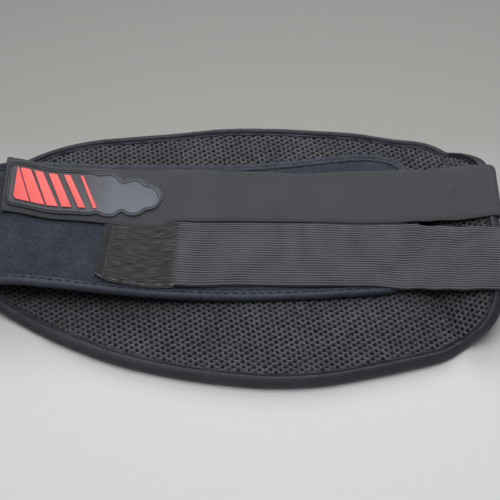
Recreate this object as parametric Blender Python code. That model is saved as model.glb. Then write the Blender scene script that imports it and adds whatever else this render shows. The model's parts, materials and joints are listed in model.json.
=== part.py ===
"""A kidney belt, closed and lying on its back panel with the front side up.

Metres, +Z up. X runs along the belt from the left fold to the straps' turn at the right, Y from the
near edge to the far edge. The origin is under the middle of the belt, on the surface that it lies on.

The back panel is a padded sheet that lies flat and curls up at both ends. The front wing goes on
from its left end, round the fold, and lies over it. Two straps start under the panel's right end,
turn round it and run left over the wing.
"""
import bpy
import math
from mathutils import Vector

# The whole belt, as it lies
BELT_LENGTH = 0.420
GAP = 0.0003

# Back panel
PANEL_HEIGHT = 0.2475
PANEL_THICKNESS = 0.008
PANEL_BINDING = 0.010
END_RISE = 0.030
CREASE_SETBACK = 0.062
CREASE_BOW = 0.058
CREASE_CURVE = 1.2
FLAP_LEAST = 0.012

# Fold at the left, from the panel up into the wing
FOLD_HEIGHT = 0.029
FOLD_SWEEP_LOW = 0.058
FOLD_SWEEP_HIGH = 0.018
SEAM_ANGLE = math.radians(35)

# Front wing
WING_REACH = 0.355
WING_HEIGHT = 0.134
WING_THICKNESS = 0.0065
WING_BINDING = 0.008
SETTLE_LENGTH = 0.200
TIP_LEAD = 0.004

# Straps
STRAP_THICKNESS = 0.002
UPPER_STRAP_WIDTH = 0.052
LOWER_STRAP_WIDTH = 0.060
STRAP_SPLIT = 0.019
STRAP_CLEARANCE = 0.0012
ROOT_SETBACK = 0.036
UPPER_STRAP_REACH = 0.4035
LOWER_STRAP_REACH = 0.325
LOWER_END_SKEW = 0.0060
TIP_SETBACK = 0.003
RIB_COUNT = 26
RIB_HEIGHT = 0.0005
HEM_LENGTH = 0.009
HEM_THICKNESS = 0.0012

# Hook pads under the straps' free ends
HOOK_THICKNESS = 0.0018
UPPER_HOOK_LENGTH = 0.070
LOWER_HOOK_LENGTH = 0.062
HOOK_INSET = 0.002
HOOK_PROUD = 0.001
HOOK_RAMP = 0.030

# Rubber badge on the upper strap
PATCH_LENGTH = 0.1265
PATCH_HEIGHT = 0.043
PATCH_SETBACK = 0.0020
PATCH_ASIDE = -0.0003
PATCH_CORNER = 0.0075
PATCH_THICKNESS = 0.0026
FIELD_THICKNESS = 0.0014
RIM_WIDTH = 0.0034
RIM_ROUND = 0.0006
STRIPE_MARGIN = 0.0026
STRIPE_THICKNESS = 0.0008

# Derived places
LEFT_X = -BELT_LENGTH / 2
RIGHT_X = BELT_LENGTH / 2
HALF_PANEL = PANEL_THICKNESS / 2
HALF_WING = WING_THICKNESS / 2
HALF_STRAP = STRAP_THICKNESS / 2
FOLD_RADIUS = FOLD_HEIGHT / 2
FOLD_X = LEFT_X + HALF_WING
FOLD_Z = HALF_PANEL + FOLD_RADIUS
FOLD_TOP_X = FOLD_X + FOLD_SWEEP_HIGH
SEAM_X = FOLD_X + FOLD_SWEEP_LOW * (1 - math.cos(SEAM_ANGLE))
TIP_X = LEFT_X + WING_REACH
TURN_X = RIGHT_X - STRAP_THICKNESS - GAP - HALF_PANEL
STRAP_ASIDE = (STRAP_SPLIT + UPPER_STRAP_WIDTH) / (PANEL_HEIGHT / 2)
END_TILT = math.atan(CREASE_CURVE * END_RISE / (CREASE_SETBACK - CREASE_BOW * STRAP_ASIDE ** 2))
END_X = TURN_X + HALF_PANEL * math.cos(END_TILT)

# Panel outline: along = share of the way from the seam to the right end; near and far = how far the
# edge lies from the middle line, as a share of half the panel's height
PANEL_OUTLINE = [
    {"along": 0.000, "near": 0.468, "far": 0.646},
    {"along": 0.028, "near": 0.524, "far": 0.727},
    {"along": 0.090, "near": 0.634, "far": 0.835},
    {"along": 0.164, "near": 0.745, "far": 0.897},
    {"along": 0.238, "near": 0.836, "far": 0.925},
    {"along": 0.337, "near": 0.917, "far": 0.956},
    {"along": 0.436, "near": 0.970, "far": 0.995},
    {"along": 0.535, "near": 0.998, "far": 1.000},
    {"along": 0.634, "near": 0.986, "far": 0.983},
    {"along": 0.733, "near": 0.929, "far": 0.956},
    {"along": 0.808, "near": 0.874, "far": 0.910},
    {"along": 0.882, "near": 0.807, "far": 0.872},
    {"along": 0.931, "near": 0.711, "far": 0.784},
    {"along": 0.963, "near": 0.652, "far": 0.695},
    {"along": 0.985, "near": 0.545, "far": 0.595},
    {"along": 0.997, "near": 0.360, "far": 0.440},
    {"along": 1.000, "near": 0.100, "far": 0.250},
]

# Wing outline: along = share of the wing's own length from the seam to the tip; near and far = shares
# of the wing's height. The first row, at the seam, follows the panel's edge.
WING_OUTLINE = [
    {"along": 0.036, "near": 0.403, "far": 0.552},
    {"along": 0.070, "near": 0.372, "far": 0.515},
    {"along": 0.103, "near": 0.356, "far": 0.500},
    {"along": 0.196, "near": 0.370, "far": 0.508},
    {"along": 0.295, "near": 0.387, "far": 0.514},
    {"along": 0.393, "near": 0.396, "far": 0.541},
    {"along": 0.496, "near": 0.395, "far": 0.568},
    {"along": 0.620, "near": 0.389, "far": 0.593},
    {"along": 0.720, "near": 0.380, "far": 0.620},
    {"along": 0.780, "near": 0.373, "far": 0.642},
    {"along": 0.840, "near": 0.361, "far": 0.663},
    {"along": 0.893, "near": 0.349, "far": 0.670},
    {"along": 0.930, "near": 0.335, "far": 0.657},
    {"along": 0.960, "near": 0.300, "far": 0.628},
    {"along": 0.985, "near": 0.215, "far": 0.562},
    {"along": 1.000, "near": 0.040, "far": 0.370},
]

# Straps: along = share of the belt's length from its left fold; edge = where the outer edge lies from
# its own straight line, as a share of the strap's width; split = the same for the edge by the other strap
UPPER_STRAP_LAY = [
    {"along": 0.03, "edge": -0.05, "split": -0.07},
    {"along": 0.14, "edge": -0.21, "split": -0.20},
    {"along": 0.26, "edge": -0.17, "split": -0.21},
    {"along": 0.32, "edge": -0.12, "split": -0.20},
    {"along": 0.38, "edge": -0.05, "split": -0.04},
    {"along": 0.50, "edge": -0.02, "split": 0.01},
    {"along": 0.62, "edge": -0.06, "split": 0.00},
    {"along": 0.74, "edge": -0.01, "split": -0.02},
    {"along": 0.82, "edge": 0.00, "split": -0.01},
    {"along": 0.87, "edge": -0.07, "split": -0.06},
    {"along": 0.93, "edge": -0.10, "split": -0.12},
    {"along": 1.00, "edge": -0.16, "split": -0.12},
]
LOWER_STRAP_LAY = [
    {"along": 0.20, "edge": -0.10, "split": -0.17},
    {"along": 0.24, "edge": 0.02, "split": -0.19},
    {"along": 0.27, "edge": 0.06, "split": -0.19},
    {"along": 0.32, "edge": 0.08, "split": -0.18},
    {"along": 0.38, "edge": 0.05, "split": -0.05},
    {"along": 0.50, "edge": -0.01, "split": -0.01},
    {"along": 0.62, "edge": 0.00, "split": -0.01},
    {"along": 0.74, "edge": 0.00, "split": -0.04},
    {"along": 0.82, "edge": 0.05, "split": -0.03},
    {"along": 0.87, "edge": 0.11, "split": -0.12},
    {"along": 0.93, "edge": 0.18, "split": -0.21},
    {"along": 1.00, "edge": 0.25, "split": -0.29},
]

# Badge outline: discs on both sides of its middle line that give its end a lobed edge. along and
# aside = their centres, radius = their size, as shares of the badge's length
PATCH_LOBES = [
    {"along": 0.650, "aside": 0.074, "radius": 0.098},
    {"along": 0.815, "aside": 0.052, "radius": 0.094},
    {"along": 0.900, "aside": 0.000, "radius": 0.100},
]
PATCH_BODY_SHARE = 0.60

# Section of a binding: inset = how far in from the outline, as a share of its width; lift = height off
# its middle, as a share of half its thickness
BINDING_SECTION = [
    {"inset": 1.00, "lift": 1.00},
    {"inset": 0.35, "lift": 1.00},
    {"inset": 0.08, "lift": 0.55},
    {"inset": 0.00, "lift": 0.00},
    {"inset": 0.08, "lift": -0.55},
    {"inset": 0.35, "lift": -1.00},
    {"inset": 1.00, "lift": -1.00},
]

# Stripes: where each starts and ends along the badge, at its field's far and near edge, as shares of
# the badge's length
STRIPES = [
    {"far_from": 0.064, "far_to": 0.073, "near_from": 0.058, "near_to": 0.165},
    {"far_from": 0.080, "far_to": 0.151, "near_from": 0.173, "near_to": 0.264},
    {"far_from": 0.173, "far_to": 0.230, "near_from": 0.274, "near_to": 0.347},
    {"far_from": 0.266, "far_to": 0.323, "near_from": 0.369, "near_to": 0.432},
    {"far_from": 0.364, "far_to": 0.406, "near_from": 0.473, "near_to": 0.519},
    {"far_from": 0.469, "far_to": 0.489, "near_from": 0.565, "near_to": 0.590},
]

# How finely the shapes are divided
OUTLINE_STEPS = 3
PANEL_ROWS = 10
WING_ROWS = 6
FOLD_STEPS = 12
RUN_STEPS = 60
TURN_STEPS = 9
ROOT_STEPS = 4
SPAN_STEPS = 5
LAID_STEPS = 17
PATCH_STEPS = 44
HOOK_STEPS = 8
STRIPE_STEPS = 3
THIN_ROWS = 2
PROBE = 0.0005
SHARP_ANGLE = math.radians(40)


def start_empty():
    """Remove what the scene holds."""
    for item in list(bpy.data.objects):
        bpy.data.objects.remove(item, do_unlink=True)


def material(name, color, roughness):
    """Return a Principled material of one colour."""
    made = bpy.data.materials.new(name)
    made.use_nodes = True
    shader = made.node_tree.nodes["Principled BSDF"]
    shader.inputs["Base Color"].default_value = (*color, 1.0)
    shader.inputs["Roughness"].default_value = roughness
    shader.inputs["Metallic"].default_value = 0.0
    return made


def add_solid(name, vertices, faces, finish):
    """Make one named mesh object, shaded smooth apart from its sharp edges."""
    mesh = bpy.data.meshes.new(name)
    mesh.from_pydata([tuple(vertex) for vertex in vertices], [], faces)
    mesh.validate()
    mesh.shade_smooth()
    mesh.set_sharp_from_angle(angle=SHARP_ANGLE)
    solid = bpy.data.objects.new(name, mesh)
    solid.data.materials.append(finish)
    bpy.context.scene.collection.objects.link(solid)
    return solid


def clamp(value, low, high):
    return max(low, min(high, value))


def ease(share):
    """Go from 0 to 1 with level ends."""
    share = clamp(share, 0.0, 1.0)
    return share * share * (3 - 2 * share)


def read_table(rows, key, along):
    """Read a table's column at a place along it, on a smooth curve through its rows."""
    if along <= rows[0]["along"]:
        return rows[0][key]
    for before, after in zip(rows, rows[1:]):
        if along <= after["along"]:
            share = (along - before["along"]) / (after["along"] - before["along"])
            return before[key] + (after[key] - before[key]) * ease(share)
    return rows[-1][key]


def smooth_through(points, steps):
    """Return points on a centripetal curve through flat points, with equal steps between them."""
    ends = [points[0] * 2 - points[1]] + points + [points[-1] * 2 - points[-2]]
    curve = []
    for index in range(1, len(ends) - 2):
        four = ends[index - 1:index + 3]
        knots = [0.0]
        for start, stop in zip(four, four[1:]):
            knots.append(knots[-1] + math.sqrt((stop - start).length))
        for step in range(steps):
            knot = knots[1] + (knots[2] - knots[1]) * step / steps
            layer = four
            for depth in (1, 2, 3):
                blended = []
                for place in range(4 - depth):
                    low = knots[place] if depth < 3 else knots[1]
                    high = knots[place + depth] if depth < 3 else knots[2]
                    share = (knot - low) / (high - low)
                    blended.append(layer[place].lerp(layer[place + 1], share))
                layer = blended
            curve.append(layer[0])
    curve.append(points[-1])
    return curve


def crease_x(y):
    """Where the panel's right end starts to rise; the crease bows towards the end at its edges."""
    aside = y / (PANEL_HEIGHT / 2)
    return min(END_X - CREASE_SETBACK + CREASE_BOW * aside * aside, END_X - FLAP_LEAST)


def end_rise(x, y):
    """How far the panel's right end is lifted by the straps."""
    start = crease_x(y)
    share = max((x - start) / (END_X - start), 0.0)
    return END_RISE * share ** CREASE_CURVE


def fold_rise(x):
    """How far the panel's left end has curled up towards the fold."""
    share = clamp((FOLD_X + FOLD_SWEEP_LOW - x) / FOLD_SWEEP_LOW, 0.0, 1.0)
    return FOLD_RADIUS * (1 - math.sqrt(1 - share * share))


def panel_middle(x, y):
    """Height of the panel's middle surface."""
    return HALF_PANEL + fold_rise(x) + end_rise(x, y)


def panel_slope(x, y):
    """How steeply the panel climbs along X."""
    return (panel_middle(x + PROBE, y) - panel_middle(x - PROBE, y)) / (2 * PROBE)


def panel_tilt(x, y):
    """How steeply the panel climbs along Y."""
    return (panel_middle(x, y + PROBE) - panel_middle(x, y - PROBE)) / (2 * PROBE)


def panel_point(x, y, lift=0.0):
    """A point on the panel, lifted off its middle surface at right angles to it."""
    normal = Vector((-panel_slope(x, y), -panel_tilt(x, y), 1)).normalized()
    return Vector((x, y, panel_middle(x, y))) + normal * lift


def wing_middle(x):
    """Height of the wing's middle surface over its run, from the fold's top down onto the panel.

    The panel is level under the run's left half and may climb under its right half.
    """
    ahead = x + TIP_LEAD
    slope = panel_slope(ahead, 0.0) if x > 0 else 0.0
    stack = (HALF_PANEL + GAP + HALF_WING) * math.sqrt(1 + slope * slope)
    rest = HALF_PANEL + end_rise(ahead, 0.0) + stack
    top = FOLD_Z + FOLD_RADIUS
    return rest + (top - rest) * (1 - ease((x - FOLD_TOP_X) / SETTLE_LENGTH))


def wing_line():
    """The wing's middle line in X and Z, from the seam round the fold to the tip."""
    line = []
    for step in range(FOLD_STEPS):
        angle = -SEAM_ANGLE * (1 - step / FOLD_STEPS)
        line.append(Vector((FOLD_X + FOLD_SWEEP_LOW * (1 - math.cos(angle)),
                            FOLD_Z + FOLD_RADIUS * math.sin(angle))))
    for step in range(2 * FOLD_STEPS):
        angle = math.pi / 2 * step / (2 * FOLD_STEPS)
        line.append(Vector((FOLD_X + FOLD_SWEEP_HIGH * (1 - math.cos(angle)),
                            FOLD_Z + FOLD_RADIUS * math.sin(angle))))
    for step in range(RUN_STEPS + 1):
        x = FOLD_TOP_X + (TIP_X - FOLD_TOP_X) * step / RUN_STEPS
        line.append(Vector((x, wing_middle(x))))
    return line


def line_lengths(line):
    """Length along a line at each of its points."""
    lengths = [0.0]
    for start, stop in zip(line, line[1:]):
        lengths.append(lengths[-1] + (stop - start).length)
    return lengths


WING_LINE = wing_line()
WING_LENGTHS = line_lengths(WING_LINE)
WING_LENGTH = WING_LENGTHS[-1]


def wing_spot(along):
    """A place on the wing's middle line at a length from the seam, straight on past its ends."""
    index = 0
    while index < len(WING_LENGTHS) - 2 and WING_LENGTHS[index + 1] < along:
        index += 1
    start, stop = WING_LINE[index], WING_LINE[index + 1]
    share = (along - WING_LENGTHS[index]) / (WING_LENGTHS[index + 1] - WING_LENGTHS[index])
    return start.lerp(stop, share)


def wing_point(along, y, lift=0.0):
    """A point on the wing, lifted off its middle surface at right angles to it."""
    middle = wing_spot(along)
    step = wing_spot(along + 2 * PROBE) - wing_spot(along - 2 * PROBE)
    step.normalize()
    return Vector((middle.x + step.y * -lift, y, middle.y + step.x * lift))


def inset_outline(lay, spots, width, closed=False):
    """Move an outline's spots inwards by a true distance on the surface.

    A spot is a flat place on the surface. The outline runs round with the piece on its left. The ends
    of an open outline slide along the seam that they end at.
    """
    moved = []
    count = len(spots)
    for index, spot in enumerate(spots):
        before = spots[index - 1] if closed or index > 0 else spot
        after = spots[(index + 1) % count] if closed or index < count - 1 else spot
        flat = after - before
        along = lay(spot.x + PROBE, spot.y) - lay(spot.x - PROBE, spot.y)
        aside = lay(spot.x, spot.y + PROBE) - lay(spot.x, spot.y - PROBE)
        normal = along.cross(aside).normalized()
        tangent = (along * flat.x + aside * flat.y).normalized()
        inward = normal.cross(tangent) * width * 2 * PROBE
        shift = Vector((inward.dot(along) / along.length_squared,
                        inward.dot(aside) / aside.length_squared))
        if not closed and index in (0, count - 1):
            shift = shift - flat * (shift.x / flat.x)
        moved.append(spot + shift)
    return moved


def split_outline(spots):
    """Split an outline into its near side and its far side, in pairs from the seam to the end."""
    half = (len(spots) - OUTLINE_STEPS + 1) // 2
    return spots[:half], spots[::-1][:half]


def outline_spots(rows, start, length, height):
    """Read an outline table into a smooth outline, along the near side and back on the far side."""
    near = [Vector((start + row["along"] * length, -row["near"] * height)) for row in rows]
    far = [Vector((start + row["along"] * length, row["far"] * height)) for row in rows]
    return smooth_through(near + far[::-1], OUTLINE_STEPS)


def pad_solid(name, lay, near, far, rows, low, high, finish):
    """A padded sheet between a near and a far side, from one lift to another."""
    columns = len(near)
    vertices = []
    for lift in (low, high):
        for near_spot, far_spot in zip(near, far):
            for row in range(rows + 1):
                spot = near_spot.lerp(far_spot, row / rows)
                vertices.append(lay(spot.x, spot.y, lift))
    top = columns * (rows + 1)
    faces = []
    for column in range(columns - 1):
        for row in range(rows):
            corner = column * (rows + 1) + row
            beside = corner + rows + 1
            faces.append((corner, corner + 1, beside + 1, beside))
            faces.append((top + corner, top + beside, top + beside + 1, top + corner + 1))
    rim = [column * (rows + 1) for column in range(columns)]
    rim += [(columns - 1) * (rows + 1) + row for row in range(1, rows + 1)]
    rim += [column * (rows + 1) + rows for column in range(columns - 2, -1, -1)]
    rim += [row for row in range(rows - 1, 0, -1)]
    for here, following in zip(rim, rim[1:] + rim[:1]):
        faces.append((here, following, top + following, top + here))
    return add_solid(name, vertices, faces, finish)


def bar_solid(name, lay, outline, width, half, finish):
    """A binding: a bar of rounded section that runs along an outline's inner side."""
    tracks = []
    for corner in BINDING_SECTION:
        spots = inset_outline(lay, outline, corner["inset"] * width)
        tracks.append([lay(spot.x, spot.y, corner["lift"] * half) for spot in spots])
    size = len(BINDING_SECTION)
    vertices = [track[index] for index in range(len(outline)) for track in tracks]
    faces = []
    for index in range(len(outline) - 1):
        for side in range(size):
            following = (side + 1) % size
            start, stop = index * size, (index + 1) * size
            faces.append((start + side, start + following, stop + following, stop + side))
    faces.append(tuple(range(size - 1, -1, -1)))
    faces.append(tuple((len(outline) - 1) * size + side for side in range(size)))
    return add_solid(name, vertices, faces, finish)


def strap_edges(x, upper):
    """Near and far edge of a strap at a place along the belt."""
    along = (x - LEFT_X) / BELT_LENGTH
    if upper:
        width = UPPER_STRAP_WIDTH
        near = STRAP_SPLIT + STRAP_CLEARANCE / 2 + read_table(UPPER_STRAP_LAY, "split", along) * width
        far = STRAP_SPLIT + width + read_table(UPPER_STRAP_LAY, "edge", along) * width
        return near, far
    width = LOWER_STRAP_WIDTH
    near = STRAP_SPLIT - width - read_table(LOWER_STRAP_LAY, "edge", along) * width
    far = STRAP_SPLIT - STRAP_CLEARANCE / 2 + read_table(LOWER_STRAP_LAY, "split", along) * width
    return near, far


def hook_lift(x, left_x, hook_length):
    """How far a hook pad holds its strap off the wing."""
    ramp_x = left_x + hook_length + HOOK_INSET
    return (HOOK_THICKNESS + GAP) * (1 - ease((x - ramp_x) / HOOK_RAMP))


def laid_middle(x, left_x, hook_length):
    """Height and slope of a strap's middle where it lies over the wing; it stays level past the fold."""
    held = max(x, FOLD_TOP_X)
    slope = (wing_middle(held + PROBE) - wing_middle(held - PROBE)) / (2 * PROBE)
    stack = HALF_WING + GAP + hook_lift(x, left_x, hook_length) + HALF_STRAP
    return wing_middle(held) + stack * math.sqrt(1 + slope * slope)


def strap_line(upper, side, left_x, hook_length, laid_x):
    """The middle line of a strap's near or far edge in X and Z, from its root round the turn to its end."""
    reach = HALF_PANEL + GAP + HALF_STRAP
    root_x = END_X - ROOT_SETBACK
    line = []
    for step in range(ROOT_STEPS):
        x = root_x + (TURN_X - root_x) * step / ROOT_STEPS
        y = strap_edges(x, upper)[side]
        slope = math.atan(panel_slope(x, y))
        drop = reach * math.sqrt(1 + panel_tilt(x, y) ** 2)
        line.append(Vector((x + drop * math.sin(slope), panel_middle(x, y) - drop * math.cos(slope))))
    y = strap_edges(TURN_X, upper)[side]
    centre = Vector((TURN_X, panel_middle(TURN_X, y)))
    touch_x = TIP_X - TIP_SETBACK
    touch = Vector((touch_x, laid_middle(touch_x, left_x, hook_length)))
    top = centre + Vector((0, reach))
    dip = math.atan2(top.y - touch.y, top.x - touch.x)
    first = math.atan(panel_slope(TURN_X, y)) - math.pi / 2
    last = math.pi / 2 + dip
    for step in range(TURN_STEPS + 1):
        angle = first + (last - first) * step / TURN_STEPS
        line.append(centre + Vector((math.cos(angle), math.sin(angle))) * reach)
    leave = line[-1]
    pull = (leave - touch).length
    nearby = touch_x - 2 * PROBE
    wing_way = (touch - Vector((nearby, laid_middle(nearby, left_x, hook_length)))).normalized()
    for step in range(1, SPAN_STEPS):
        share = step / SPAN_STEPS
        ahead = leave + Vector((-math.cos(dip), -math.sin(dip))) * pull * share
        behind = touch + wing_way * pull * (1 - share)
        line.append(ahead.lerp(behind, ease(share)))
    for place in laid_x:
        line.append(Vector((place, laid_middle(place, left_x, hook_length))))
    return line


def strap_stations(left_x, hook_length, hem_length):
    """Places along the wing where a strap has a section: even steps, its hook pad's end and its hem."""
    touch_x = TIP_X - TIP_SETBACK
    places = [touch_x + (left_x - touch_x) * step / LAID_STEPS for step in range(LAID_STEPS + 1)]
    places.append(left_x + hook_length + HOOK_INSET)
    if hem_length > 0:
        places += [left_x + hem_length, left_x + hem_length + 2 * PROBE]
    return sorted(places, reverse=True)


def strap_solid(name, upper, left_x, hook_length, top_profile, skew, hem_length, finish):
    """A strap: a ribbon ruled between its near and far line, with a profile across its top.

    Its free end is cut at a skew and may end in a hem, whose sections are its last ones.
    """
    lines = []
    for side in (0, 1):
        laid_x = strap_stations(left_x + skew * side, hook_length - skew * side, hem_length)
        lines.append(strap_line(upper, side, left_x, hook_length, laid_x))
    hem_x = left_x + hem_length + PROBE
    count = len(lines[0])
    size = len(top_profile) + 2
    vertices = []
    for index in range(count):
        before, after = max(index - 1, 0), min(index + 1, count - 1)
        ends = []
        for side in (0, 1):
            step = (lines[side][after] - lines[side][before]).normalized()
            middle = lines[side][index]
            y = strap_edges(middle.x, upper)[side]
            ends.append((Vector((middle.x, y, middle.y)), Vector((step.y, 0, -step.x))))
        raised = HEM_THICKNESS if ends[0][0].x < hem_x and hem_length > 0 else 0.0
        for share, height in top_profile:
            middle = ends[0][0].lerp(ends[1][0], share)
            out = ends[0][1].lerp(ends[1][1], share)
            vertices.append(middle + out * (HALF_STRAP + raised + height))
        for share in (1.0, 0.0):
            middle = ends[0][0].lerp(ends[1][0], share)
            out = ends[0][1].lerp(ends[1][1], share)
            vertices.append(middle - out * HALF_STRAP)
    faces = []
    for index in range(count - 1):
        start, stop = index * size, (index + 1) * size
        for side in range(size):
            following = (side + 1) % size
            faces.append((start + side, start + following, stop + following, stop + side))
    faces.append(tuple(range(size - 1, -1, -1)))
    faces.append(tuple((count - 1) * size + side for side in range(size)))
    return add_solid(name, vertices, faces, finish)


def hook_solid(name, upper, left_x, hook_length, skew, inset_near, inset_far, finish):
    """A hook pad: a plain plate between the wing and its strap, with the strap's skew at its free end."""
    near, far = [], []
    for step in range(HOOK_STEPS + 1):
        share = step / HOOK_STEPS
        near_x = left_x + HOOK_INSET + (hook_length - HOOK_INSET) * share
        far_x = near_x + skew * (1 - share)
        near.append(Vector((near_x, strap_edges(near_x, upper)[0] + inset_near)))
        far.append(Vector((far_x, strap_edges(far_x, upper)[1] - inset_far)))

    def lay(x, y, lift=0.0):
        base = laid_middle(x, left_x, hook_length) - HALF_STRAP - GAP - HOOK_THICKNESS
        return Vector((x, y, base + lift))

    return pad_solid(name, lay, near, far, THIN_ROWS, 0.0, HOOK_THICKNESS, finish)


def patch_half(along):
    """Half the badge's height at a length from its left end, before smoothing."""
    half = PATCH_HEIGHT / 2
    aside = 0.0
    body = PATCH_BODY_SHARE * PATCH_LENGTH
    if along <= body:
        into = PATCH_CORNER - min(along, body - along, PATCH_CORNER)
        aside = half - PATCH_CORNER + math.sqrt(PATCH_CORNER ** 2 - into ** 2)
    for lobe in PATCH_LOBES:
        radius = lobe["radius"] * PATCH_LENGTH
        into = along - lobe["along"] * PATCH_LENGTH
        if abs(into) < radius:
            aside = max(aside, lobe["aside"] * PATCH_LENGTH + math.sqrt(radius ** 2 - into ** 2))
    return min(aside, half)


def patch_outline():
    """The badge's outline as near and far spots from left to right, closer together at its ends."""
    spread = PATCH_LENGTH / PATCH_STEPS / 2
    halves = []
    for step in range(PATCH_STEPS + 1):
        along = PATCH_LENGTH * (1 - math.cos(math.pi * step / PATCH_STEPS)) / 2
        near_by = [clamp(along + shift * spread, 0.0, PATCH_LENGTH) for shift in (-1, 0, 1)]
        half = sum(patch_half(place) for place in near_by) / len(near_by)
        halves.append((along, max(half, RIM_WIDTH / 2)))
    near = [Vector((along, -half)) for along, half in halves]
    far = [Vector((along, half)) for along, half in halves]
    return near + far[::-1]


def patch_point(along, aside, lift=0.0):
    """A point on the badge's underside, or lifted off it at right angles."""
    left_x = upper_left_x()
    x = left_x + PATCH_SETBACK + along
    near, far = strap_edges(x, True)
    height = laid_middle(x, left_x, UPPER_HOOK_LENGTH)
    ahead = laid_middle(x + PROBE, left_x, UPPER_HOOK_LENGTH)
    slope = (ahead - height) / PROBE
    normal = Vector((-slope, 0, 1)).normalized()
    return Vector((x, (near + far) / 2 + PATCH_ASIDE + aside, height)) + normal * (HALF_STRAP + GAP + lift)


def upper_left_x():
    return END_X - UPPER_STRAP_REACH


def lower_left_x():
    return END_X - LOWER_STRAP_REACH


def patch_solid(name, finish):
    """The badge: a base with a raised, rounded rim round a recessed field."""
    outline = patch_outline()
    rings = [
        (0.0, 0.0),
        (0.0, PATCH_THICKNESS - RIM_ROUND),
        (RIM_ROUND, PATCH_THICKNESS),
        (RIM_WIDTH - RIM_ROUND, PATCH_THICKNESS),
        (RIM_WIDTH, FIELD_THICKNESS),
    ]
    vertices = []
    for inset, lift in rings:
        spots = inset_outline(patch_point, outline, inset, closed=True)
        vertices += [patch_point(spot.x, spot.y, lift) for spot in spots]
    count = len(outline)
    faces = []
    for ring in range(len(rings) - 1):
        low, high = ring * count, (ring + 1) * count
        for index in range(count):
            following = (index + 1) % count
            faces.append((low + index, low + following, high + following, high + index))
    field = (len(rings) - 1) * count
    for index in range(count // 2 - 1):
        opposite = count - 1 - index
        faces.append((index, opposite, opposite - 1, index + 1))
        faces.append((field + index, field + index + 1, field + opposite - 1, field + opposite))
    return add_solid(name, vertices, faces, finish)


def stripe_solid(name, stripe, finish):
    """One slanted stripe, seated in the badge's field."""
    half = PATCH_HEIGHT / 2 - RIM_WIDTH - STRIPE_MARGIN
    near, far = [], []
    for step in range(STRIPE_STEPS + 1):
        share = step / STRIPE_STEPS
        near_along = stripe["near_from"] + (stripe["near_to"] - stripe["near_from"]) * share
        far_along = stripe["far_from"] + (stripe["far_to"] - stripe["far_from"]) * share
        near.append(Vector((near_along * PATCH_LENGTH, -half)))
        far.append(Vector((far_along * PATCH_LENGTH, half)))
    low = FIELD_THICKNESS + GAP
    return pad_solid(name, patch_point, near, far, THIN_ROWS, low, low + STRIPE_THICKNESS, finish)


def build_panel(mesh_finish, tape_finish):
    length = END_X - SEAM_X
    outline = outline_spots(PANEL_OUTLINE, SEAM_X, length, PANEL_HEIGHT / 2)
    near, far = split_outline(inset_outline(panel_point, outline, PANEL_BINDING + GAP))
    pad_solid("back_panel", panel_point, near, far, PANEL_ROWS, -HALF_PANEL, HALF_PANEL, mesh_finish)
    bar_solid("panel_binding", panel_point, outline, PANEL_BINDING, HALF_PANEL, tape_finish)


def build_wing(loop_finish, tape_finish):
    seam = {
        "along": GAP / WING_LENGTH,
        "near": PANEL_OUTLINE[0]["near"] * PANEL_HEIGHT / 2 / WING_HEIGHT,
        "far": PANEL_OUTLINE[0]["far"] * PANEL_HEIGHT / 2 / WING_HEIGHT,
    }
    outline = outline_spots([seam] + WING_OUTLINE, 0.0, WING_LENGTH, WING_HEIGHT)
    near, far = split_outline(inset_outline(wing_point, outline, WING_BINDING + GAP))
    pad_solid("front_wing", wing_point, near, far, WING_ROWS, -HALF_WING, HALF_WING, loop_finish)
    bar_solid("wing_binding", wing_point, outline, WING_BINDING, HALF_WING, tape_finish)


def build_upper_strap(strap_finish, hook_finish):
    left_x = upper_left_x()
    profile = [(0.0, 0.0), (0.5, 0.0), (1.0, 0.0)]
    strap_solid("upper_strap", True, left_x, UPPER_HOOK_LENGTH, profile, 0.0, 0.0, strap_finish)
    hook_solid("upper_hook_pad", True, left_x, UPPER_HOOK_LENGTH, 0.0, HOOK_INSET, HOOK_INSET, hook_finish)


def build_lower_strap(strap_finish, hook_finish):
    left_x = lower_left_x()
    profile = []
    for rib in range(RIB_COUNT):
        profile.append((rib / RIB_COUNT, 0.0))
        profile.append(((rib + 0.5) / RIB_COUNT, RIB_HEIGHT))
    profile.append((1.0, 0.0))
    strap_solid("lower_strap", False, left_x, LOWER_HOOK_LENGTH, profile, LOWER_END_SKEW, HEM_LENGTH,
                strap_finish)
    hook_solid("lower_hook_pad", False, left_x, LOWER_HOOK_LENGTH, LOWER_END_SKEW, -HOOK_PROUD, HOOK_INSET,
               hook_finish)


def build_patch(rubber_finish, stripe_finish):
    patch_solid("patch", rubber_finish)
    for number, stripe in enumerate(STRIPES, start=1):
        stripe_solid(f"stripe_{number}", stripe, stripe_finish)


def main():
    start_empty()
    build_panel(material("air_mesh", (0.045, 0.048, 0.052), 0.9),
                material("panel_tape", (0.028, 0.029, 0.036), 0.8))
    build_wing(material("loop_fabric", (0.035, 0.042, 0.055), 0.95),
               material("wing_tape", (0.022, 0.025, 0.033), 0.8))
    build_upper_strap(material("smooth_strap", (0.062, 0.064, 0.070), 0.85),
                      material("upper_hook", (0.05, 0.05, 0.055), 0.7))
    build_lower_strap(material("ribbed_strap", (0.070, 0.072, 0.076), 0.85),
                      material("lower_hook", (0.09, 0.09, 0.095), 0.7))
    build_patch(material("rubber", (0.10, 0.105, 0.115), 0.5),
                material("coral_rubber", (0.85, 0.14, 0.13), 0.5))


main()
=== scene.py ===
"""The look of a closed kidney belt that lies on its back panel, front side up.

Metres, +Z up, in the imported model's own frame. The surfaces that the cloth lies on are worked out from
the same named sizes as the model's solids, so each piece sits in its own solid's place.
"""
import json
import math
import random
from bisect import bisect_left

import bpy
import numpy
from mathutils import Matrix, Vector, noise
from mathutils.kdtree import KDTree

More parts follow.
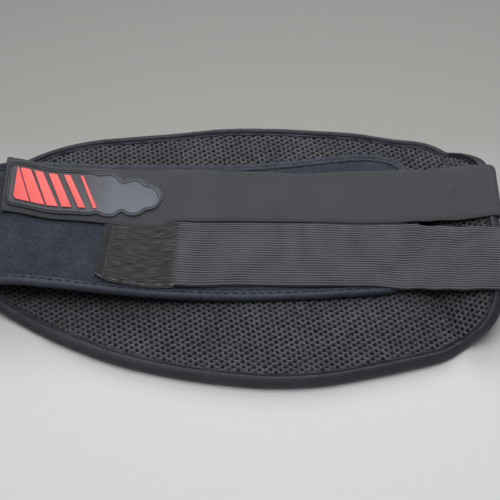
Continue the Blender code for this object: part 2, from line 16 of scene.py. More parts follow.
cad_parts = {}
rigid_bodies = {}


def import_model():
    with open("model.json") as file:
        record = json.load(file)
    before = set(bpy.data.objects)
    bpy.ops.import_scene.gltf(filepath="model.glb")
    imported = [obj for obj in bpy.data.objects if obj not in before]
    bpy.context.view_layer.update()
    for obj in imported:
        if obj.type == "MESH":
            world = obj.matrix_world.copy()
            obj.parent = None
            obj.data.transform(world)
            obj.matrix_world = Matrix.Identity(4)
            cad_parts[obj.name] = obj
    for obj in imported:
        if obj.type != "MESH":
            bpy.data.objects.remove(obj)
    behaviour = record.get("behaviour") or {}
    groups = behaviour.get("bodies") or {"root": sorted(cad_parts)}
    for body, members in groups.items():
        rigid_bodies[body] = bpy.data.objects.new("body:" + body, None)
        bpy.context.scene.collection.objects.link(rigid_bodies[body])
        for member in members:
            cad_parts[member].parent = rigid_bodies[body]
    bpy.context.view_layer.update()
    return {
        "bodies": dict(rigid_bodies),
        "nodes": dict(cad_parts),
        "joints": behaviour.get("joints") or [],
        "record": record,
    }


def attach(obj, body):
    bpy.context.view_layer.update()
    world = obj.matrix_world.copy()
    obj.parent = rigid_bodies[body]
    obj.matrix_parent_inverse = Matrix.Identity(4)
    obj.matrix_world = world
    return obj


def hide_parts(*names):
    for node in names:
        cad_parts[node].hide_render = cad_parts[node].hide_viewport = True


# The whole belt, as it lies
BELT_LENGTH = 0.420
GAP = 0.0003

# Back panel
PANEL_HEIGHT = 0.2475
PANEL_THICKNESS = 0.008
PANEL_BINDING = 0.010
END_RISE = 0.030
CREASE_SETBACK = 0.062
CREASE_BOW = 0.058
CREASE_CURVE = 1.2
FLAP_LEAST = 0.012

# Fold at the left
FOLD_HEIGHT = 0.029
FOLD_SWEEP_LOW = 0.058
FOLD_SWEEP_HIGH = 0.018
SEAM_ANGLE = math.radians(35)

# Front wing
WING_REACH = 0.355
WING_HEIGHT = 0.134
WING_THICKNESS = 0.0065
WING_BINDING = 0.008
SETTLE_LENGTH = 0.200
TIP_LEAD = 0.004

# Straps
STRAP_THICKNESS = 0.002
UPPER_STRAP_WIDTH = 0.052
LOWER_STRAP_WIDTH = 0.060
STRAP_SPLIT = 0.019
STRAP_CLEARANCE = 0.0012
ROOT_SETBACK = 0.036
UPPER_STRAP_REACH = 0.4035
LOWER_STRAP_REACH = 0.325
LOWER_END_SKEW = 0.0060
TIP_SETBACK = 0.003
RIB_COUNT = 26
RIB_HEIGHT = 0.0009
EDGE_ROUND = 0.0012
HEM_LENGTH = 0.0078
HEM_THICKNESS = 0.0012
HEM_EDGE = 0.0012
HOOK_THICKNESS = 0.0018
UPPER_HOOK_LENGTH = 0.070
LOWER_HOOK_LENGTH = 0.062
HOOK_INSET = 0.002
HOOK_RAMP = 0.030

# Rubber badge
PATCH_LENGTH = 0.1265
PATCH_HEIGHT = 0.043
PATCH_SETBACK = 0.0020
PATCH_ASIDE = -0.0003
PATCH_CORNER = 0.0075
PATCH_BODY_SHARE = 0.60
STRIPE_MARGIN = 0.0026

# Derived places
LEFT_X = -BELT_LENGTH / 2
RIGHT_X = BELT_LENGTH / 2
HALF_PANEL = PANEL_THICKNESS / 2
HALF_WING = WING_THICKNESS / 2
HALF_STRAP = STRAP_THICKNESS / 2
FOLD_RADIUS = FOLD_HEIGHT / 2
FOLD_X = LEFT_X + HALF_WING
FOLD_Z = HALF_PANEL + FOLD_RADIUS
FOLD_TOP_X = FOLD_X + FOLD_SWEEP_HIGH
SEAM_X = FOLD_X + FOLD_SWEEP_LOW * (1 - math.cos(SEAM_ANGLE))
TIP_X = LEFT_X + WING_REACH
TURN_X = RIGHT_X - STRAP_THICKNESS - GAP - HALF_PANEL
STRAP_ASIDE = (STRAP_SPLIT + UPPER_STRAP_WIDTH) / (PANEL_HEIGHT / 2)
END_TILT = math.atan(CREASE_CURVE * END_RISE / (CREASE_SETBACK - CREASE_BOW * STRAP_ASIDE ** 2))
END_X = TURN_X + HALF_PANEL * math.cos(END_TILT)
UPPER_LEFT_X = END_X - UPPER_STRAP_REACH
LOWER_LEFT_X = END_X - LOWER_STRAP_REACH
PATCH_X = UPPER_LEFT_X + PATCH_SETBACK
PROBE = 0.0005

# Steps of the wing's line and of a strap's line, and how a strap's heights are evened out
FOLD_STEPS = 16
RUN_STEPS = 120
ROOT_STEPS = 8
TURN_STEPS = 20
SPAN_STEPS = 24
LAID_STEPS = 300
EVEN_FROM = ROOT_STEPS + TURN_STEPS + 1
EVEN_REACH = 10

# Steps between an outline's rows and rows across, for the pads and for their tapes
PAD_STEPS = 6
PAD_GAP = 0.0001
TAPE_STEPS = 14
PANEL_ROWS = 56
WING_ROWS = 48

# Camera: it looks at this place from the near side, 60 degrees above the surface
LOOK_AT = Vector((0.005, 0.002, 0.0))
CAMERA_ELEVATION = math.radians(60)
CAMERA_DISTANCE = 0.95
CAMERA_LENS = 82.08

# Outlines: rows of a share of the length, and the near and far edge as shares of the height
NEAR = 1
PANEL_OUTLINE = [
    (0.000, 0.468, 0.646), (0.028, 0.524, 0.727), (0.090, 0.634, 0.835), (0.164, 0.745, 0.897),
    (0.238, 0.836, 0.925), (0.337, 0.917, 0.956), (0.436, 0.970, 0.995), (0.535, 0.998, 1.000),
    (0.634, 0.986, 0.983), (0.733, 0.929, 0.956), (0.808, 0.874, 0.910), (0.882, 0.807, 0.872),
    (0.931, 0.711, 0.784), (0.963, 0.652, 0.695), (0.985, 0.545, 0.595), (0.997, 0.360, 0.440),
    (1.000, 0.100, 0.250),
]
WING_OUTLINE = [
    (0.036, 0.403, 0.552), (0.070, 0.372, 0.515), (0.103, 0.356, 0.500), (0.196, 0.370, 0.508),
    (0.295, 0.387, 0.514), (0.393, 0.396, 0.541), (0.496, 0.395, 0.568), (0.620, 0.389, 0.593),
    (0.720, 0.380, 0.620), (0.780, 0.373, 0.642), (0.840, 0.361, 0.663), (0.893, 0.349, 0.670),
    (0.930, 0.335, 0.657), (0.960, 0.300, 0.628), (0.985, 0.215, 0.562), (1.000, 0.040, 0.370),
]

# Straps: rows of a share of the belt's length, and the outer edge's and the split's shift as shares
# of the strap's width
EDGE = 1
SPLIT = 2
UPPER_STRAP_LAY = [
    (0.03, -0.05, -0.07), (0.14, -0.21, -0.20), (0.26, -0.17, -0.21), (0.32, -0.12, -0.20),
    (0.38, -0.05, -0.04), (0.50, -0.02, 0.01), (0.62, -0.06, 0.00), (0.74, -0.01, -0.02),
    (0.82, 0.00, -0.01), (0.87, -0.07, -0.06), (0.93, -0.10, -0.12), (1.00, -0.16, -0.12),
]
LOWER_STRAP_LAY = [
    (0.20, -0.10, -0.17), (0.24, 0.02, -0.19), (0.27, 0.06, -0.19), (0.32, 0.08, -0.18),
    (0.38, 0.05, -0.05), (0.50, -0.01, -0.01), (0.62, 0.00, -0.01), (0.74, 0.00, -0.04),
    (0.82, 0.05, -0.03), (0.87, 0.11, -0.12), (0.93, 0.18, -0.21), (1.00, 0.25, -0.29),
]

# Badge: its end's lobes as (along, aside, radius), and its stripes as (far from, far to, near from,
# near to), all as shares of its length
PATCH_LOBES = [
    (0.650, 0.074, 0.098), (0.815, 0.052, 0.094), (0.900, 0.000, 0.100),
]
STRIPES = [
    (0.064, 0.073, 0.058, 0.165), (0.080, 0.151, 0.173, 0.264), (0.173, 0.230, 0.274, 0.347),
    (0.266, 0.323, 0.369, 0.432), (0.364, 0.406, 0.473, 0.519), (0.469, 0.489, 0.565, 0.590),
]

# Air mesh: a net of staggered holes
NET_PITCH = 0.00472
NET_LEAN = 0.15
NET_HOLE_LONG = 0.0035
NET_HOLE_TALL = 0.0028
NET_ROUND = 0.00050
NET_DEPTH = 0.0024
NET_SEED = 11
NET_REACH = 0.26
NET_OVERHANG = 0.0024
NET_NARROWING = 0.16
NET_WANDER = 0.00035
NET_WANDER_SIZE = 0.012
HOLE_SIZES = (-0.18, 0.08)
RING_SIZE = 12
NET_EDGE_STEPS = 8

# The panel's near edge curls up off the surface, in the scene alone
EDGE_CURL = 0.0034
CURL_FROM = 0.70

# Where the wing holds the panel down, between its near and far edge
WING_HOLDS_NEAR = -0.048
WING_HOLDS_FAR = 0.080

# Cloth simulation: frames, and each pad's pressure and farthest movement
SIMULATED_FRAMES = 20
PANEL_PRESSURE = 4.0
PANEL_SWELL_CAP = 0.0040
WING_PRESSURE = 4.0
WING_SWELL_CAP = 0.0015
SWELL_SETTINGS = {
    "quality": 6,
    "mass": 0.2,
    "tension_stiffness": 20.0,
    "compression_stiffness": 20.0,
    "bending_stiffness": 2.0,
    "vertex_group_mass": "held",
    "use_pressure": True,
}

# Dips beside the tapes: depth, and how fast each pad's fades
TAPE_DIP = 0.0011
PANEL_DIP_FADE = 0.004
WING_DIP_FADE = 0.0020

# Creases of the panel. A ridge has a place, a width and a height; a groove's height is below 0
RIGHT_RIDGE = (-0.003, 0.003, 0.0011)
RIGHT_GROOVE = (0.004, 0.0035, -0.0016)
LEFT_RIDGE = (-0.0015, 0.0022, 0.0007)
LEFT_HOLLOW = -0.0034
LEFT_FADE = 0.012

# A place on the crease of the panel's left end
LEFT_CREASE = Vector((-0.169, -0.049))

# Stitches: pitches, thread, and a stitch's shape as rows of its share along, its swell and its rise
PANEL_STITCH = 0.0050
WING_STITCH = 0.0070
PANEL_THREAD_RADIUS = 0.0004
WING_THREAD_RADIUS = 0.00045
STITCH_PROBE = 0.0004
STITCH_SIDES = 6
STITCH_SHAPE = [
    (0.0, 0.35, -0.4), (0.18, 0.9, 0.25), (0.5, 1.0, 0.45), (0.82, 0.9, 0.25), (1.0, 0.35, -0.4),
]

# Sections of the bindings: shares of their width inwards, and of half their thickness up
PANEL_TAPE_SECTION = [
    (1.00, 0.50), (0.95, 0.84), (0.88, 0.94), (0.81, 0.84), (0.77, 0.62), (0.73, 0.62), (0.69, 0.86),
    (0.61, 1.10), (0.50, 1.20), (0.40, 1.12), (0.30, 0.90), (0.21, 0.60), (0.13, 0.24), (0.06, -0.16),
    (0.02, -0.50), (0.05, -0.80), (0.16, -1.00), (0.40, -1.00), (1.00, -1.00),
]
WING_TAPE_SECTION = [
    (1.00, 0.55), (0.95, 0.92), (0.84, 1.04), (0.74, 0.98), (0.68, 0.90), (0.60, 1.02), (0.46, 1.16),
    (0.30, 1.14), (0.15, 0.92), (0.05, 0.50), (0.01, 0.05), (0.03, -0.50), (0.15, -0.92), (0.40, -1.00),
    (1.00, -1.00),
]

# Badge: its profile from the edge inwards, in metres inwards and up, and its painted light with some
# scuffing
# The last column paints a highlight on the ridges and shade in the grooves
PATCH_PROFILE = [
    (0.0000, 0.0000, 0.30), (0.0000, 0.0014, 0.55), (0.0002, 0.0020, 1.00), (0.0006, 0.0024, 0.45),
    (0.0010, 0.0024, 0.30), (0.0013, 0.0020, 0.12), (0.0015, 0.0017, 0.10), (0.0018, 0.0017, 0.15),
    (0.0020, 0.0021, 0.55), (0.0023, 0.0026, 1.00), (0.0028, 0.0026, 0.55), (0.0031, 0.0022, 0.30),
    (0.0034, 0.0016, 0.25), (0.0039, 0.0014, 0.50),
]
PATCH_STEPS = 110
PATCH_SPREAD = 88
PATCH_LEAST = 0.0017

# Stripes: from the badge's field up, in metres inwards and up, and the corners that are rounded more
FIELD_INSET = 0.0034
FIELD_LEVEL = 0.0017
STRIPE_PROFILE = [(0.0, 0.0), (0.0, 0.0005), (0.00015, 0.0008), (0.0004, 0.0009)]
STRIPE_CORNER = 0.0004
STRIPE_CORNERS = {1: [0.0042, 0.0004, 0.0002, 0.0004], 2: [0.0004, 0.0004, 0.0004, 0.0022]}

# Colours
WHITE = (1.0, 1.0, 1.0)
NET_COLOR = (0.099, 0.100, 0.111)
BACKING_COLOR = (0.019, 0.019, 0.023)
PANEL_TAPE_COLOR = (0.026, 0.028, 0.040)
WING_TAPE_COLOR = (0.044, 0.049, 0.069)
LOOP_COLOR = (0.040, 0.047, 0.062)
STRAP_COLOR = (0.066, 0.068, 0.074)
RIBBED_COLOR = (0.103, 0.105, 0.113)
HOOK_COLOR = (0.030, 0.030, 0.034)
PALE_HOOK_COLOR = (0.10, 0.10, 0.11)
THREAD_COLOR = (0.030, 0.031, 0.042)
WING_THREAD_COLOR = (0.010, 0.011, 0.020)
BADGE_DARK_COLOR = (0.068, 0.071, 0.079)
BADGE_LIGHT_COLOR = (0.132, 0.140, 0.168)
CORAL_COLOR = (1.00, 0.165, 0.155)
LINT_COLOR = (0.30, 0.30, 0.30)

# Sweep under the belt: its half length, its level, and its colours from near to far, a painted falloff of
# light from bright in front to grey behind the belt
SWEEP_HALF = 12.0
SWEEP_LEVEL = -0.0003
SWEEP_PAINTED_FALLOFF_SPAN = (-0.30, 0.40)
SWEEP_PAINTED_FALLOFF_STOPS = [
    (0.00, (0.75, 0.76, 0.76)), (0.26, (0.72, 0.73, 0.73)), (0.60, (0.343, 0.343, 0.327)),
    (1.00, (0.207, 0.207, 0.200)),
]

# Lamps as (place, size, power), and the light from all round
SOFTBOX = ((0.02, 0.10, 1.22), 1.0, 11.4)
BACK_SOFTBOX = ((0.10, 0.95, 0.80), 0.7, 7.0)
WORLD_COLOR = (0.80, 0.81, 0.83)
WORLD_STRENGTH = 0.17


def clamp(value, low, high):
    return max(low, min(high, value))


def ease(share):
    """Go from 0 to 1 with level ends."""
    share = clamp(share, 0.0, 1.0)
    return share * share * (3 - 2 * share)


def read_table(rows, column, along):
    """Read a table's column at a place along it, on a smooth curve through its rows."""
    if along <= rows[0][0]:
        return rows[0][column]
    for before, after in zip(rows, rows[1:]):
        if along <= after[0]:
            share = (along - before[0]) / (after[0] - before[0])
            return before[column] + (after[column] - before[column]) * ease(share)
    return rows[-1][column]


def smooth_through(points, steps):
    """Return points on a centripetal curve through points, with equal steps between them."""
    ends = [points[0] * 2 - points[1]] + points + [points[-1] * 2 - points[-2]]
    curve = []
    for index in range(1, len(ends) - 2):
        four = ends[index - 1:index + 3]
        knots = [0.0]
        for start, stop in zip(four, four[1:]):
            knots.append(knots[-1] + math.sqrt((stop - start).length))
        for step in range(steps):
            knot = knots[1] + (knots[2] - knots[1]) * step / steps
            layer = four
            for depth in (1, 2, 3):
                blended = []
                for place in range(4 - depth):
                    low = knots[place] if depth < 3 else knots[1]
                    high = knots[place + depth] if depth < 3 else knots[2]
                    share = (knot - low) / (high - low)
                    blended.append(layer[place].lerp(layer[place + 1], share))
                layer = blended
            curve.append(layer[0])
    curve.append(points[-1])
    return curve


def crease_x(y):
    """Where the panel's right end starts to rise; the crease bows towards the end at its edges."""
    aside = y / (PANEL_HEIGHT / 2)
    return min(END_X - CREASE_SETBACK + CREASE_BOW * aside * aside, END_X - FLAP_LEAST)


def end_rise(x, y):
    """How far the panel's right end is lifted by the straps."""
    start = crease_x(y)
    share = max((x - start) / (END_X - start), 0.0)
    return END_RISE * share ** CREASE_CURVE


def fold_rise(x):
    """How far the panel's left end has curled up towards the fold."""
    share = clamp((FOLD_X + FOLD_SWEEP_LOW - x) / FOLD_SWEEP_LOW, 0.0, 1.0)
    return FOLD_RADIUS * (1 - math.sqrt(1 - share * share))


def near_curl(x, y):
    """How far the panel's near edge curls up between its ends, which the fold and the straps hold."""
    held = ease((x - SEAM_X - 0.010) / 0.040) * ease((TURN_X - 0.020 - x) / 0.050)
    if y > 0 or held == 0:
        return 0.0
    half = read_table(PANEL_OUTLINE, NEAR, (x - SEAM_X) / (END_X - SEAM_X)) * PANEL_HEIGHT / 2
    share = clamp((-y / half - CURL_FROM) / (1 - CURL_FROM), 0.0, 1.1)
    return EDGE_CURL * held * share * share


def panel_middle(x, y):
    """Height of the panel's middle surface."""
    return HALF_PANEL + fold_rise(x) + end_rise(x, y) + near_curl(x, y)


def panel_slope(x, y):
    """How steeply the panel climbs along X."""
    return (panel_middle(x + PROBE, y) - panel_middle(x - PROBE, y)) / (2 * PROBE)


def panel_tilt(x, y):
    """How steeply the panel climbs along Y."""
    return (panel_middle(x, y + PROBE) - panel_middle(x, y - PROBE)) / (2 * PROBE)


def panel_point(x, y, lift=0.0):
    """A point on the panel, lifted off its middle surface at right angles to it."""
    normal = Vector((-panel_slope(x, y), -panel_tilt(x, y), 1)).normalized()
    return Vector((x, y, panel_middle(x, y))) + normal * lift


def wing_middle(x):
    """Height of the wing's middle surface over its run, from the fold's top down onto the panel."""
    ahead = x + TIP_LEAD
    slope = panel_slope(ahead, 0.0) if x > 0 else 0.0
    stack = (HALF_PANEL + GAP + HALF_WING) * math.sqrt(1 + slope * slope)
    rest = HALF_PANEL + end_rise(ahead, 0.0) + stack
    top = FOLD_Z + FOLD_RADIUS
    return rest + (top - rest) * (1 - ease((x - FOLD_TOP_X) / SETTLE_LENGTH))


def wing_line():
    """The wing's middle line in X and Z, from the seam round the fold to the tip."""
    line = []
    for step in range(FOLD_STEPS):
        angle = -SEAM_ANGLE * (1 - step / FOLD_STEPS)
        line.append(Vector((FOLD_X + FOLD_SWEEP_LOW * (1 - math.cos(angle)),
                            FOLD_Z + FOLD_RADIUS * math.sin(angle))))
    for step in range(2 * FOLD_STEPS):
        angle = math.pi / 2 * step / (2 * FOLD_STEPS)
        line.append(Vector((FOLD_X + FOLD_SWEEP_HIGH * (1 - math.cos(angle)),
                            FOLD_Z + FOLD_RADIUS * math.sin(angle))))
    for step in range(RUN_STEPS + 1):
        x = FOLD_TOP_X + (TIP_X - FOLD_TOP_X) * step / RUN_STEPS
        line.append(Vector((x, wing_middle(x))))
    return line


def line_lengths(line):
    """Length along a line at each of its points."""
    lengths = [0.0]
    for start, stop in zip(line, line[1:]):
        lengths.append(lengths[-1] + (stop - start).length)
    return lengths


WING_LINE = wing_line()
WING_LENGTHS = line_lengths(WING_LINE)
WING_LENGTH = WING_LENGTHS[-1]


def place_on(lengths, distance):
    """The part of a line that a distance along it falls in."""
    return bisect_left(lengths, distance, 1, len(lengths) - 1) - 1


def wing_spot(along):
    """A place on the wing's middle line at a length from the seam, straight on past its ends."""
    part = place_on(WING_LENGTHS, along)
    share = (along - WING_LENGTHS[part]) / (WING_LENGTHS[part + 1] - WING_LENGTHS[part])
    return WING_LINE[part].lerp(WING_LINE[part + 1], share)


def wing_point(along, y, lift=0.0):
    """A point on the wing, lifted off its middle surface at right angles to it."""
    middle = wing_spot(along)
    step = wing_spot(along + 0.002) - wing_spot(along - 0.002)
    step.normalize()
    return Vector((middle.x + step.y * -lift, y, middle.y + step.x * lift))


def inset_outline(lay, spots, width, closed=False):
    """Move an outline's spots inwards by a true distance on the surface."""
    moved = []
    count = len(spots)
    for index, spot in enumerate(spots):
        before = spots[index - 1] if closed or index > 0 else spot
        after = spots[(index + 1) % count] if closed or index < count - 1 else spot
        flat = after - before
        along = lay(spot.x + PROBE, spot.y) - lay(spot.x - PROBE, spot.y)
        aside = lay(spot.x, spot.y + PROBE) - lay(spot.x, spot.y - PROBE)
        normal = along.cross(aside).normalized()
        tangent = (along * flat.x + aside * flat.y).normalized()
        inward = normal.cross(tangent) * width * 2 * PROBE
        shift = Vector((inward.dot(along) / along.length_squared,
                        inward.dot(aside) / aside.length_squared))
        if not closed and index in (0, count - 1):
            shift = shift - flat * (shift.x / flat.x)
        moved.append(spot + shift)
    return moved


def outline_spots(rows, start, length, height, steps):
    """Read an outline table into a smooth outline, along the near side and back on the far side."""
    near = [Vector((start + along * length, -low * height)) for along, low, _ in rows]
    far = [Vector((start + along * length, high * height)) for along, _, high in rows]
    return smooth_through(near + far[::-1], steps)


def panel_outline(steps):
    return outline_spots(PANEL_OUTLINE, SEAM_X, END_X - SEAM_X, PANEL_HEIGHT / 2, steps)


def wing_outline(steps):
    seam = (GAP / WING_LENGTH, *(share * PANEL_HEIGHT / 2 / WING_HEIGHT for share in PANEL_OUTLINE[0][1:]))
    return outline_spots([seam] + WING_OUTLINE, 0.0, WING_LENGTH, WING_HEIGHT, steps)


def strap_edges(x, upper):
    """Near and far edge of a strap at a place along the belt."""
    lay = UPPER_STRAP_LAY if upper else LOWER_STRAP_LAY
    width = UPPER_STRAP_WIDTH if upper else LOWER_STRAP_WIDTH
    along = (x - LEFT_X) / BELT_LENGTH
    edge = read_table(lay, EDGE, along) * width
    split = read_table(lay, SPLIT, along) * width
    if upper:
        return STRAP_SPLIT + STRAP_CLEARANCE / 2 + split, STRAP_SPLIT + width + edge
    return STRAP_SPLIT - width - edge, STRAP_SPLIT - STRAP_CLEARANCE / 2 + split


def hook_lift(x, left_x, hook_length):
    """How far a hook pad holds its strap off the wing."""
    ramp_x = left_x + hook_length + HOOK_INSET
    return (HOOK_THICKNESS + GAP) * (1 - ease((x - ramp_x) / HOOK_RAMP))


def laid_middle(x, left_x, hook_length):
    """Height of a strap's middle where it lies over the wing; it stays level past the fold."""
    held = max(x, FOLD_TOP_X)
    slope = (wing_middle(held + PROBE) - wing_middle(held - PROBE)) / (2 * PROBE)
    stack = HALF_WING + GAP + hook_lift(x, left_x, hook_length) + HALF_STRAP
    return wing_middle(held) + stack * math.sqrt(1 + slope * slope)


def strap_line(upper, side, left_x, end_x, hook_length):
    """The middle line of a strap's edge in X and Z, from its root round the turn to its end."""
    reach = HALF_PANEL + GAP + HALF_STRAP
    root_x = END_X - ROOT_SETBACK
    line = []
    for step in range(ROOT_STEPS):
        x = root_x + (TURN_X - root_x) * step / ROOT_STEPS
        y = strap_edges(x, upper)[side]
        slope = math.atan(panel_slope(x, y))
        drop = reach * math.sqrt(1 + panel_tilt(x, y) ** 2)
        line.append(Vector((x + drop * math.sin(slope), panel_middle(x, y) - drop * math.cos(slope))))
    y = strap_edges(TURN_X, upper)[side]
    centre = Vector((TURN_X, panel_middle(TURN_X, y)))
    touch_x = TIP_X - TIP_SETBACK
    touch = Vector((touch_x, laid_middle(touch_x, left_x, hook_length)))
    top = centre + Vector((0, reach))
    dip = math.atan2(top.y - touch.y, top.x - touch.x)
    first = math.atan(panel_slope(TURN_X, y)) - math.pi / 2
    last = math.pi / 2 + dip
    for step in range(TURN_STEPS + 1):
        angle = first + (last - first) * step / TURN_STEPS
        line.append(centre + Vector((math.cos(angle), math.sin(angle))) * reach)
    leave = line[-1]
    pull = (leave - touch).length
    nearby = touch_x - 2 * PROBE
    wing_way = (touch - Vector((nearby, laid_middle(nearby, left_x, hook_length)))).normalized()
    for step in range(1, SPAN_STEPS):
        share = step / SPAN_STEPS
        ahead = leave + Vector((-math.cos(dip), -math.sin(dip))) * pull * share
        behind = touch + wing_way * pull * (1 - share)
        line.append(ahead.lerp(behind, ease(share)))
    for step in range(LAID_STEPS + 1):
        x = touch_x + (end_x - touch_x) * step / LAID_STEPS
        line.append(Vector((x, laid_middle(x, left_x, hook_length))))
    return line


def add_mesh(name, vertices, faces, finish, sharp=None):
    """Make one smooth-shaded mesh object with one material."""
    mesh = bpy.data.meshes.new(name)
    mesh.from_pydata([tuple(vertex) for vertex in vertices], [], faces)
    mesh.validate()
    mesh.shade_smooth()
    if sharp is not None:
        mesh.set_sharp_from_angle(angle=math.radians(sharp))
    mesh.materials.append(finish)
    piece = bpy.data.objects.new(name, mesh)
    bpy.context.scene.collection.objects.link(piece)
    return piece


def set_uv(piece, places):
    """Store a flat place in metres for each vertex, for patterns that follow the cloth."""
    layer = piece.data.uv_layers.new(name="cloth")
    for loop in piece.data.loops:
        layer.data[loop.index].uv = places[loop.vertex_index]


def unevenness(place, size, height):
    """A soft random rise and fall of about this size and height."""
    return noise.noise(Vector(place) / size) * height


def tube_faces(rings, size, base=0):
    """Faces between rings of vertices, all of one size, from a first vertex on."""
    faces = []
    for ring in range(rings - 1):
        start, stop = base + ring * size, base + (ring + 1) * size
        for side in range(size):
            following = (side + 1) % size
            faces.append((start + side, start + following, stop + following, stop + side))
    return faces


def capped_faces(rings, size, base=0):
    """Faces between rings of vertices, with both ends closed."""
    last = base + (rings - 1) * size
    ends = [tuple(range(base + size - 1, base - 1, -1)), tuple(range(last, last + size))]
    return tube_faces(rings, size, base) + ends


# Materials


def add_node(tree, kind, values=None, **settings):
    node = tree.nodes.new(kind)
    for key, value in settings.items():
        setattr(node, key, value)
    for key, value in (values or {}).items():
        node.inputs[key].default_value = value
    return node


def start_material(name, roughness, sheen=0.0, gloss=0.15, cloth=False):
    """Make a material. Returns it, its nodes, and the places that its patterns follow: the piece's own
    space or the cloth."""
    finish = bpy.data.materials.new(name)
    finish.use_nodes = True
    tree = finish.node_tree
    shader = tree.nodes["Principled BSDF"]
    shader.inputs["Roughness"].default_value = roughness
    shader.inputs["Sheen Weight"].default_value = sheen
    shader.inputs["Sheen Roughness"].default_value = 0.5
    shader.inputs["Specular IOR Level"].default_value = gloss
    if cloth:
        return finish, tree, add_node(tree, "ShaderNodeUVMap", uv_map="cloth").outputs["UV"]
    return finish, tree, add_node(tree, "ShaderNodeTexCoord").outputs["Object"]


def end_material(finish, color, normal=None):
    """Give a material its colour and its bumps."""
    tree = finish.node_tree
    shader = tree.nodes["Principled BSDF"]
    tree.links.new(color, shader.inputs["Base Color"])
    if normal is not None:
        tree.links.new(normal, shader.inputs["Normal"])
    return finish


def noise_of(tree, coords, scale, detail=2.0, roughness=0.5):
    node = add_node(tree, "ShaderNodeTexNoise", {"Scale": scale, "Detail": detail, "Roughness": roughness})
    tree.links.new(coords, node.inputs["Vector"])
    return node.outputs["Fac"]


def wave_of(tree, coords, pitch, direction, distortion=0.0):
    """A wave whose crests are one pitch apart."""
    node = add_node(tree, "ShaderNodeTexWave", {"Scale": math.pi / 10 / pitch, "Distortion": distortion},
                    wave_type="BANDS", bands_direction=direction)
    tree.links.new(coords, node.inputs["Vector"])
    return node.outputs["Fac"]


def ramp_of(tree, factor, stops):
    """Turn a factor into a colour or a value by stops of (place, colour)."""
    node = add_node(tree, "ShaderNodeValToRGB")
    elements = node.color_ramp.elements
    while len(elements) < len(stops):
        elements.new(0.5)
    for element, (place, color) in zip(elements, stops):
        element.position = place
        element.color = (*color, 1.0)
    tree.links.new(factor, node.inputs["Fac"])
    return node.outputs["Color"]


def varied(tree, factor, stops, color=WHITE):
    """A colour made darker and lighter by a factor, with stops of (place, brightness)."""
    return ramp_of(tree, factor, [(place, [part * share for part in color]) for place, share in stops])


def mottled(tree, coords, grain, low, high, color=WHITE):
    """A colour made uneven by noise. grain is the noise's scale, detail and roughness."""
    return varied(tree, noise_of(tree, coords, *grain), [low, high], color)


def attribute_of(tree, name):
    return add_node(tree, "ShaderNodeAttribute", attribute_name=name).outputs["Fac"]


def share_along(tree, coords, axis, start, stop):
    """How far a place is on the way between two places on an axis, from 0 to 1."""
    split = add_node(tree, "ShaderNodeSeparateXYZ")
    tree.links.new(coords, split.inputs[0])
    share = add_node(tree, "ShaderNodeMapRange", {"From Min": start, "From Max": stop})
    tree.links.new(split.outputs[axis], share.inputs["Value"])
    return share.outputs["Result"]


def multiply(tree, color, *others):
    """Multiply colours."""
    for other in others:
        node = add_node(tree, "ShaderNodeMix", {0: 1.0}, data_type="RGBA", blend_type="MULTIPLY")
        tree.links.new(color, node.inputs[6])
        tree.links.new(other, node.inputs[7])
        color = node.outputs[2]
    return color


def mix_of(tree, factor, first, second):
    """Go from a first colour to a second one by a factor."""
    node = add_node(tree, "ShaderNodeMix", data_type="RGBA")
    tree.links.new(factor, node.inputs[0])
    tree.links.new(first, node.inputs[6])
    tree.links.new(second, node.inputs[7])
    return node.outputs[2]


def bump_of(tree, height, depth, normal=None):
    """Raise the surface by up to a depth in metres."""
    node = add_node(tree, "ShaderNodeBump", {"Strength": 1.0, "Distance": depth})
    tree.links.new(height, node.inputs["Height"])
    if normal is not None:
        tree.links.new(normal, node.inputs["Normal"])
    return node.outputs["Normal"]


def net_material():
    """Knitted strands of the air mesh."""
    finish, tree, coords = start_material("net_strands", 0.75)
    strands = mottled(tree, coords, (520.0, 4.0, 0.7), (0.32, 0.45), (0.70, 1.60), NET_COLOR)
    patches = mottled(tree, coords, (30.0, 3.0), (0.30, 0.82), (0.70, 1.12))
    loops = bump_of(tree, noise_of(tree, coords, 420.0, 2.0, 0.7), 0.0008)
    knit = bump_of(tree, wave_of(tree, coords, 0.0009, "DIAGONAL", 5.0), 0.0004, loops)
    return end_material(finish, multiply(tree, strands, patches), knit)


def backing_material():
    """Dark knitted backing seen through the net's holes, and the panel's woven outer face."""
    finish, tree, coords = start_material("panel_backing", 0.9)
    color = mottled(tree, coords, (700.0, 3.0), (0.3, 0.6), (0.7, 1.4), BACKING_COLOR)
    weave = multiply(tree, wave_of(tree, coords, 0.0009, "X", 1.0), wave_of(tree, coords, 0.0009, "Y", 1.0))
    return end_material(finish, color, bump_of(tree, weave, 0.0003))


def tape_material(name, color, gloss):
    """Matt stretch tape with a fine knit and faint creases."""
    finish, tree, coords = start_material(name, 0.50, 0.0, gloss)
    yarn = mottled(tree, coords, (260.0, 4.0, 0.6), (0.30, 0.75), (0.70, 1.30), color)
    wear_and_painted_light = mottled(tree, coords, (45.0,), (0.35, 0.85), (0.70, 1.15))
    faint = bump_of(tree, noise_of(tree, coords, 140.0), 0.0006)
    knit = bump_of(tree, wave_of(tree, coords, 0.0008, "DIAGONAL", 4.0), 0.0002, faint)
    return end_material(finish, multiply(tree, yarn, wear_and_painted_light), knit)


def loop_material():
    """Brushed loop fabric: a short tangled nap in navy."""
    finish, tree, coords = start_material("loop_nap", 0.95, 0.08)
    nap = mottled(tree, coords, (620.0, 5.0, 0.75), (0.34, 0.55), (0.68, 1.50), LOOP_COLOR)
    patches = mottled(tree, coords, (55.0, 4.0, 0.6), (0.30, 0.78), (0.72, 1.20))
    tufts = bump_of(tree, noise_of(tree, coords, 170.0, 3.0, 0.6), 0.0010)
    tangle = bump_of(tree, noise_of(tree, coords, 800.0, 4.0, 0.7), 0.0006, tufts)
    return end_material(finish, multiply(tree, nap, patches), tangle)


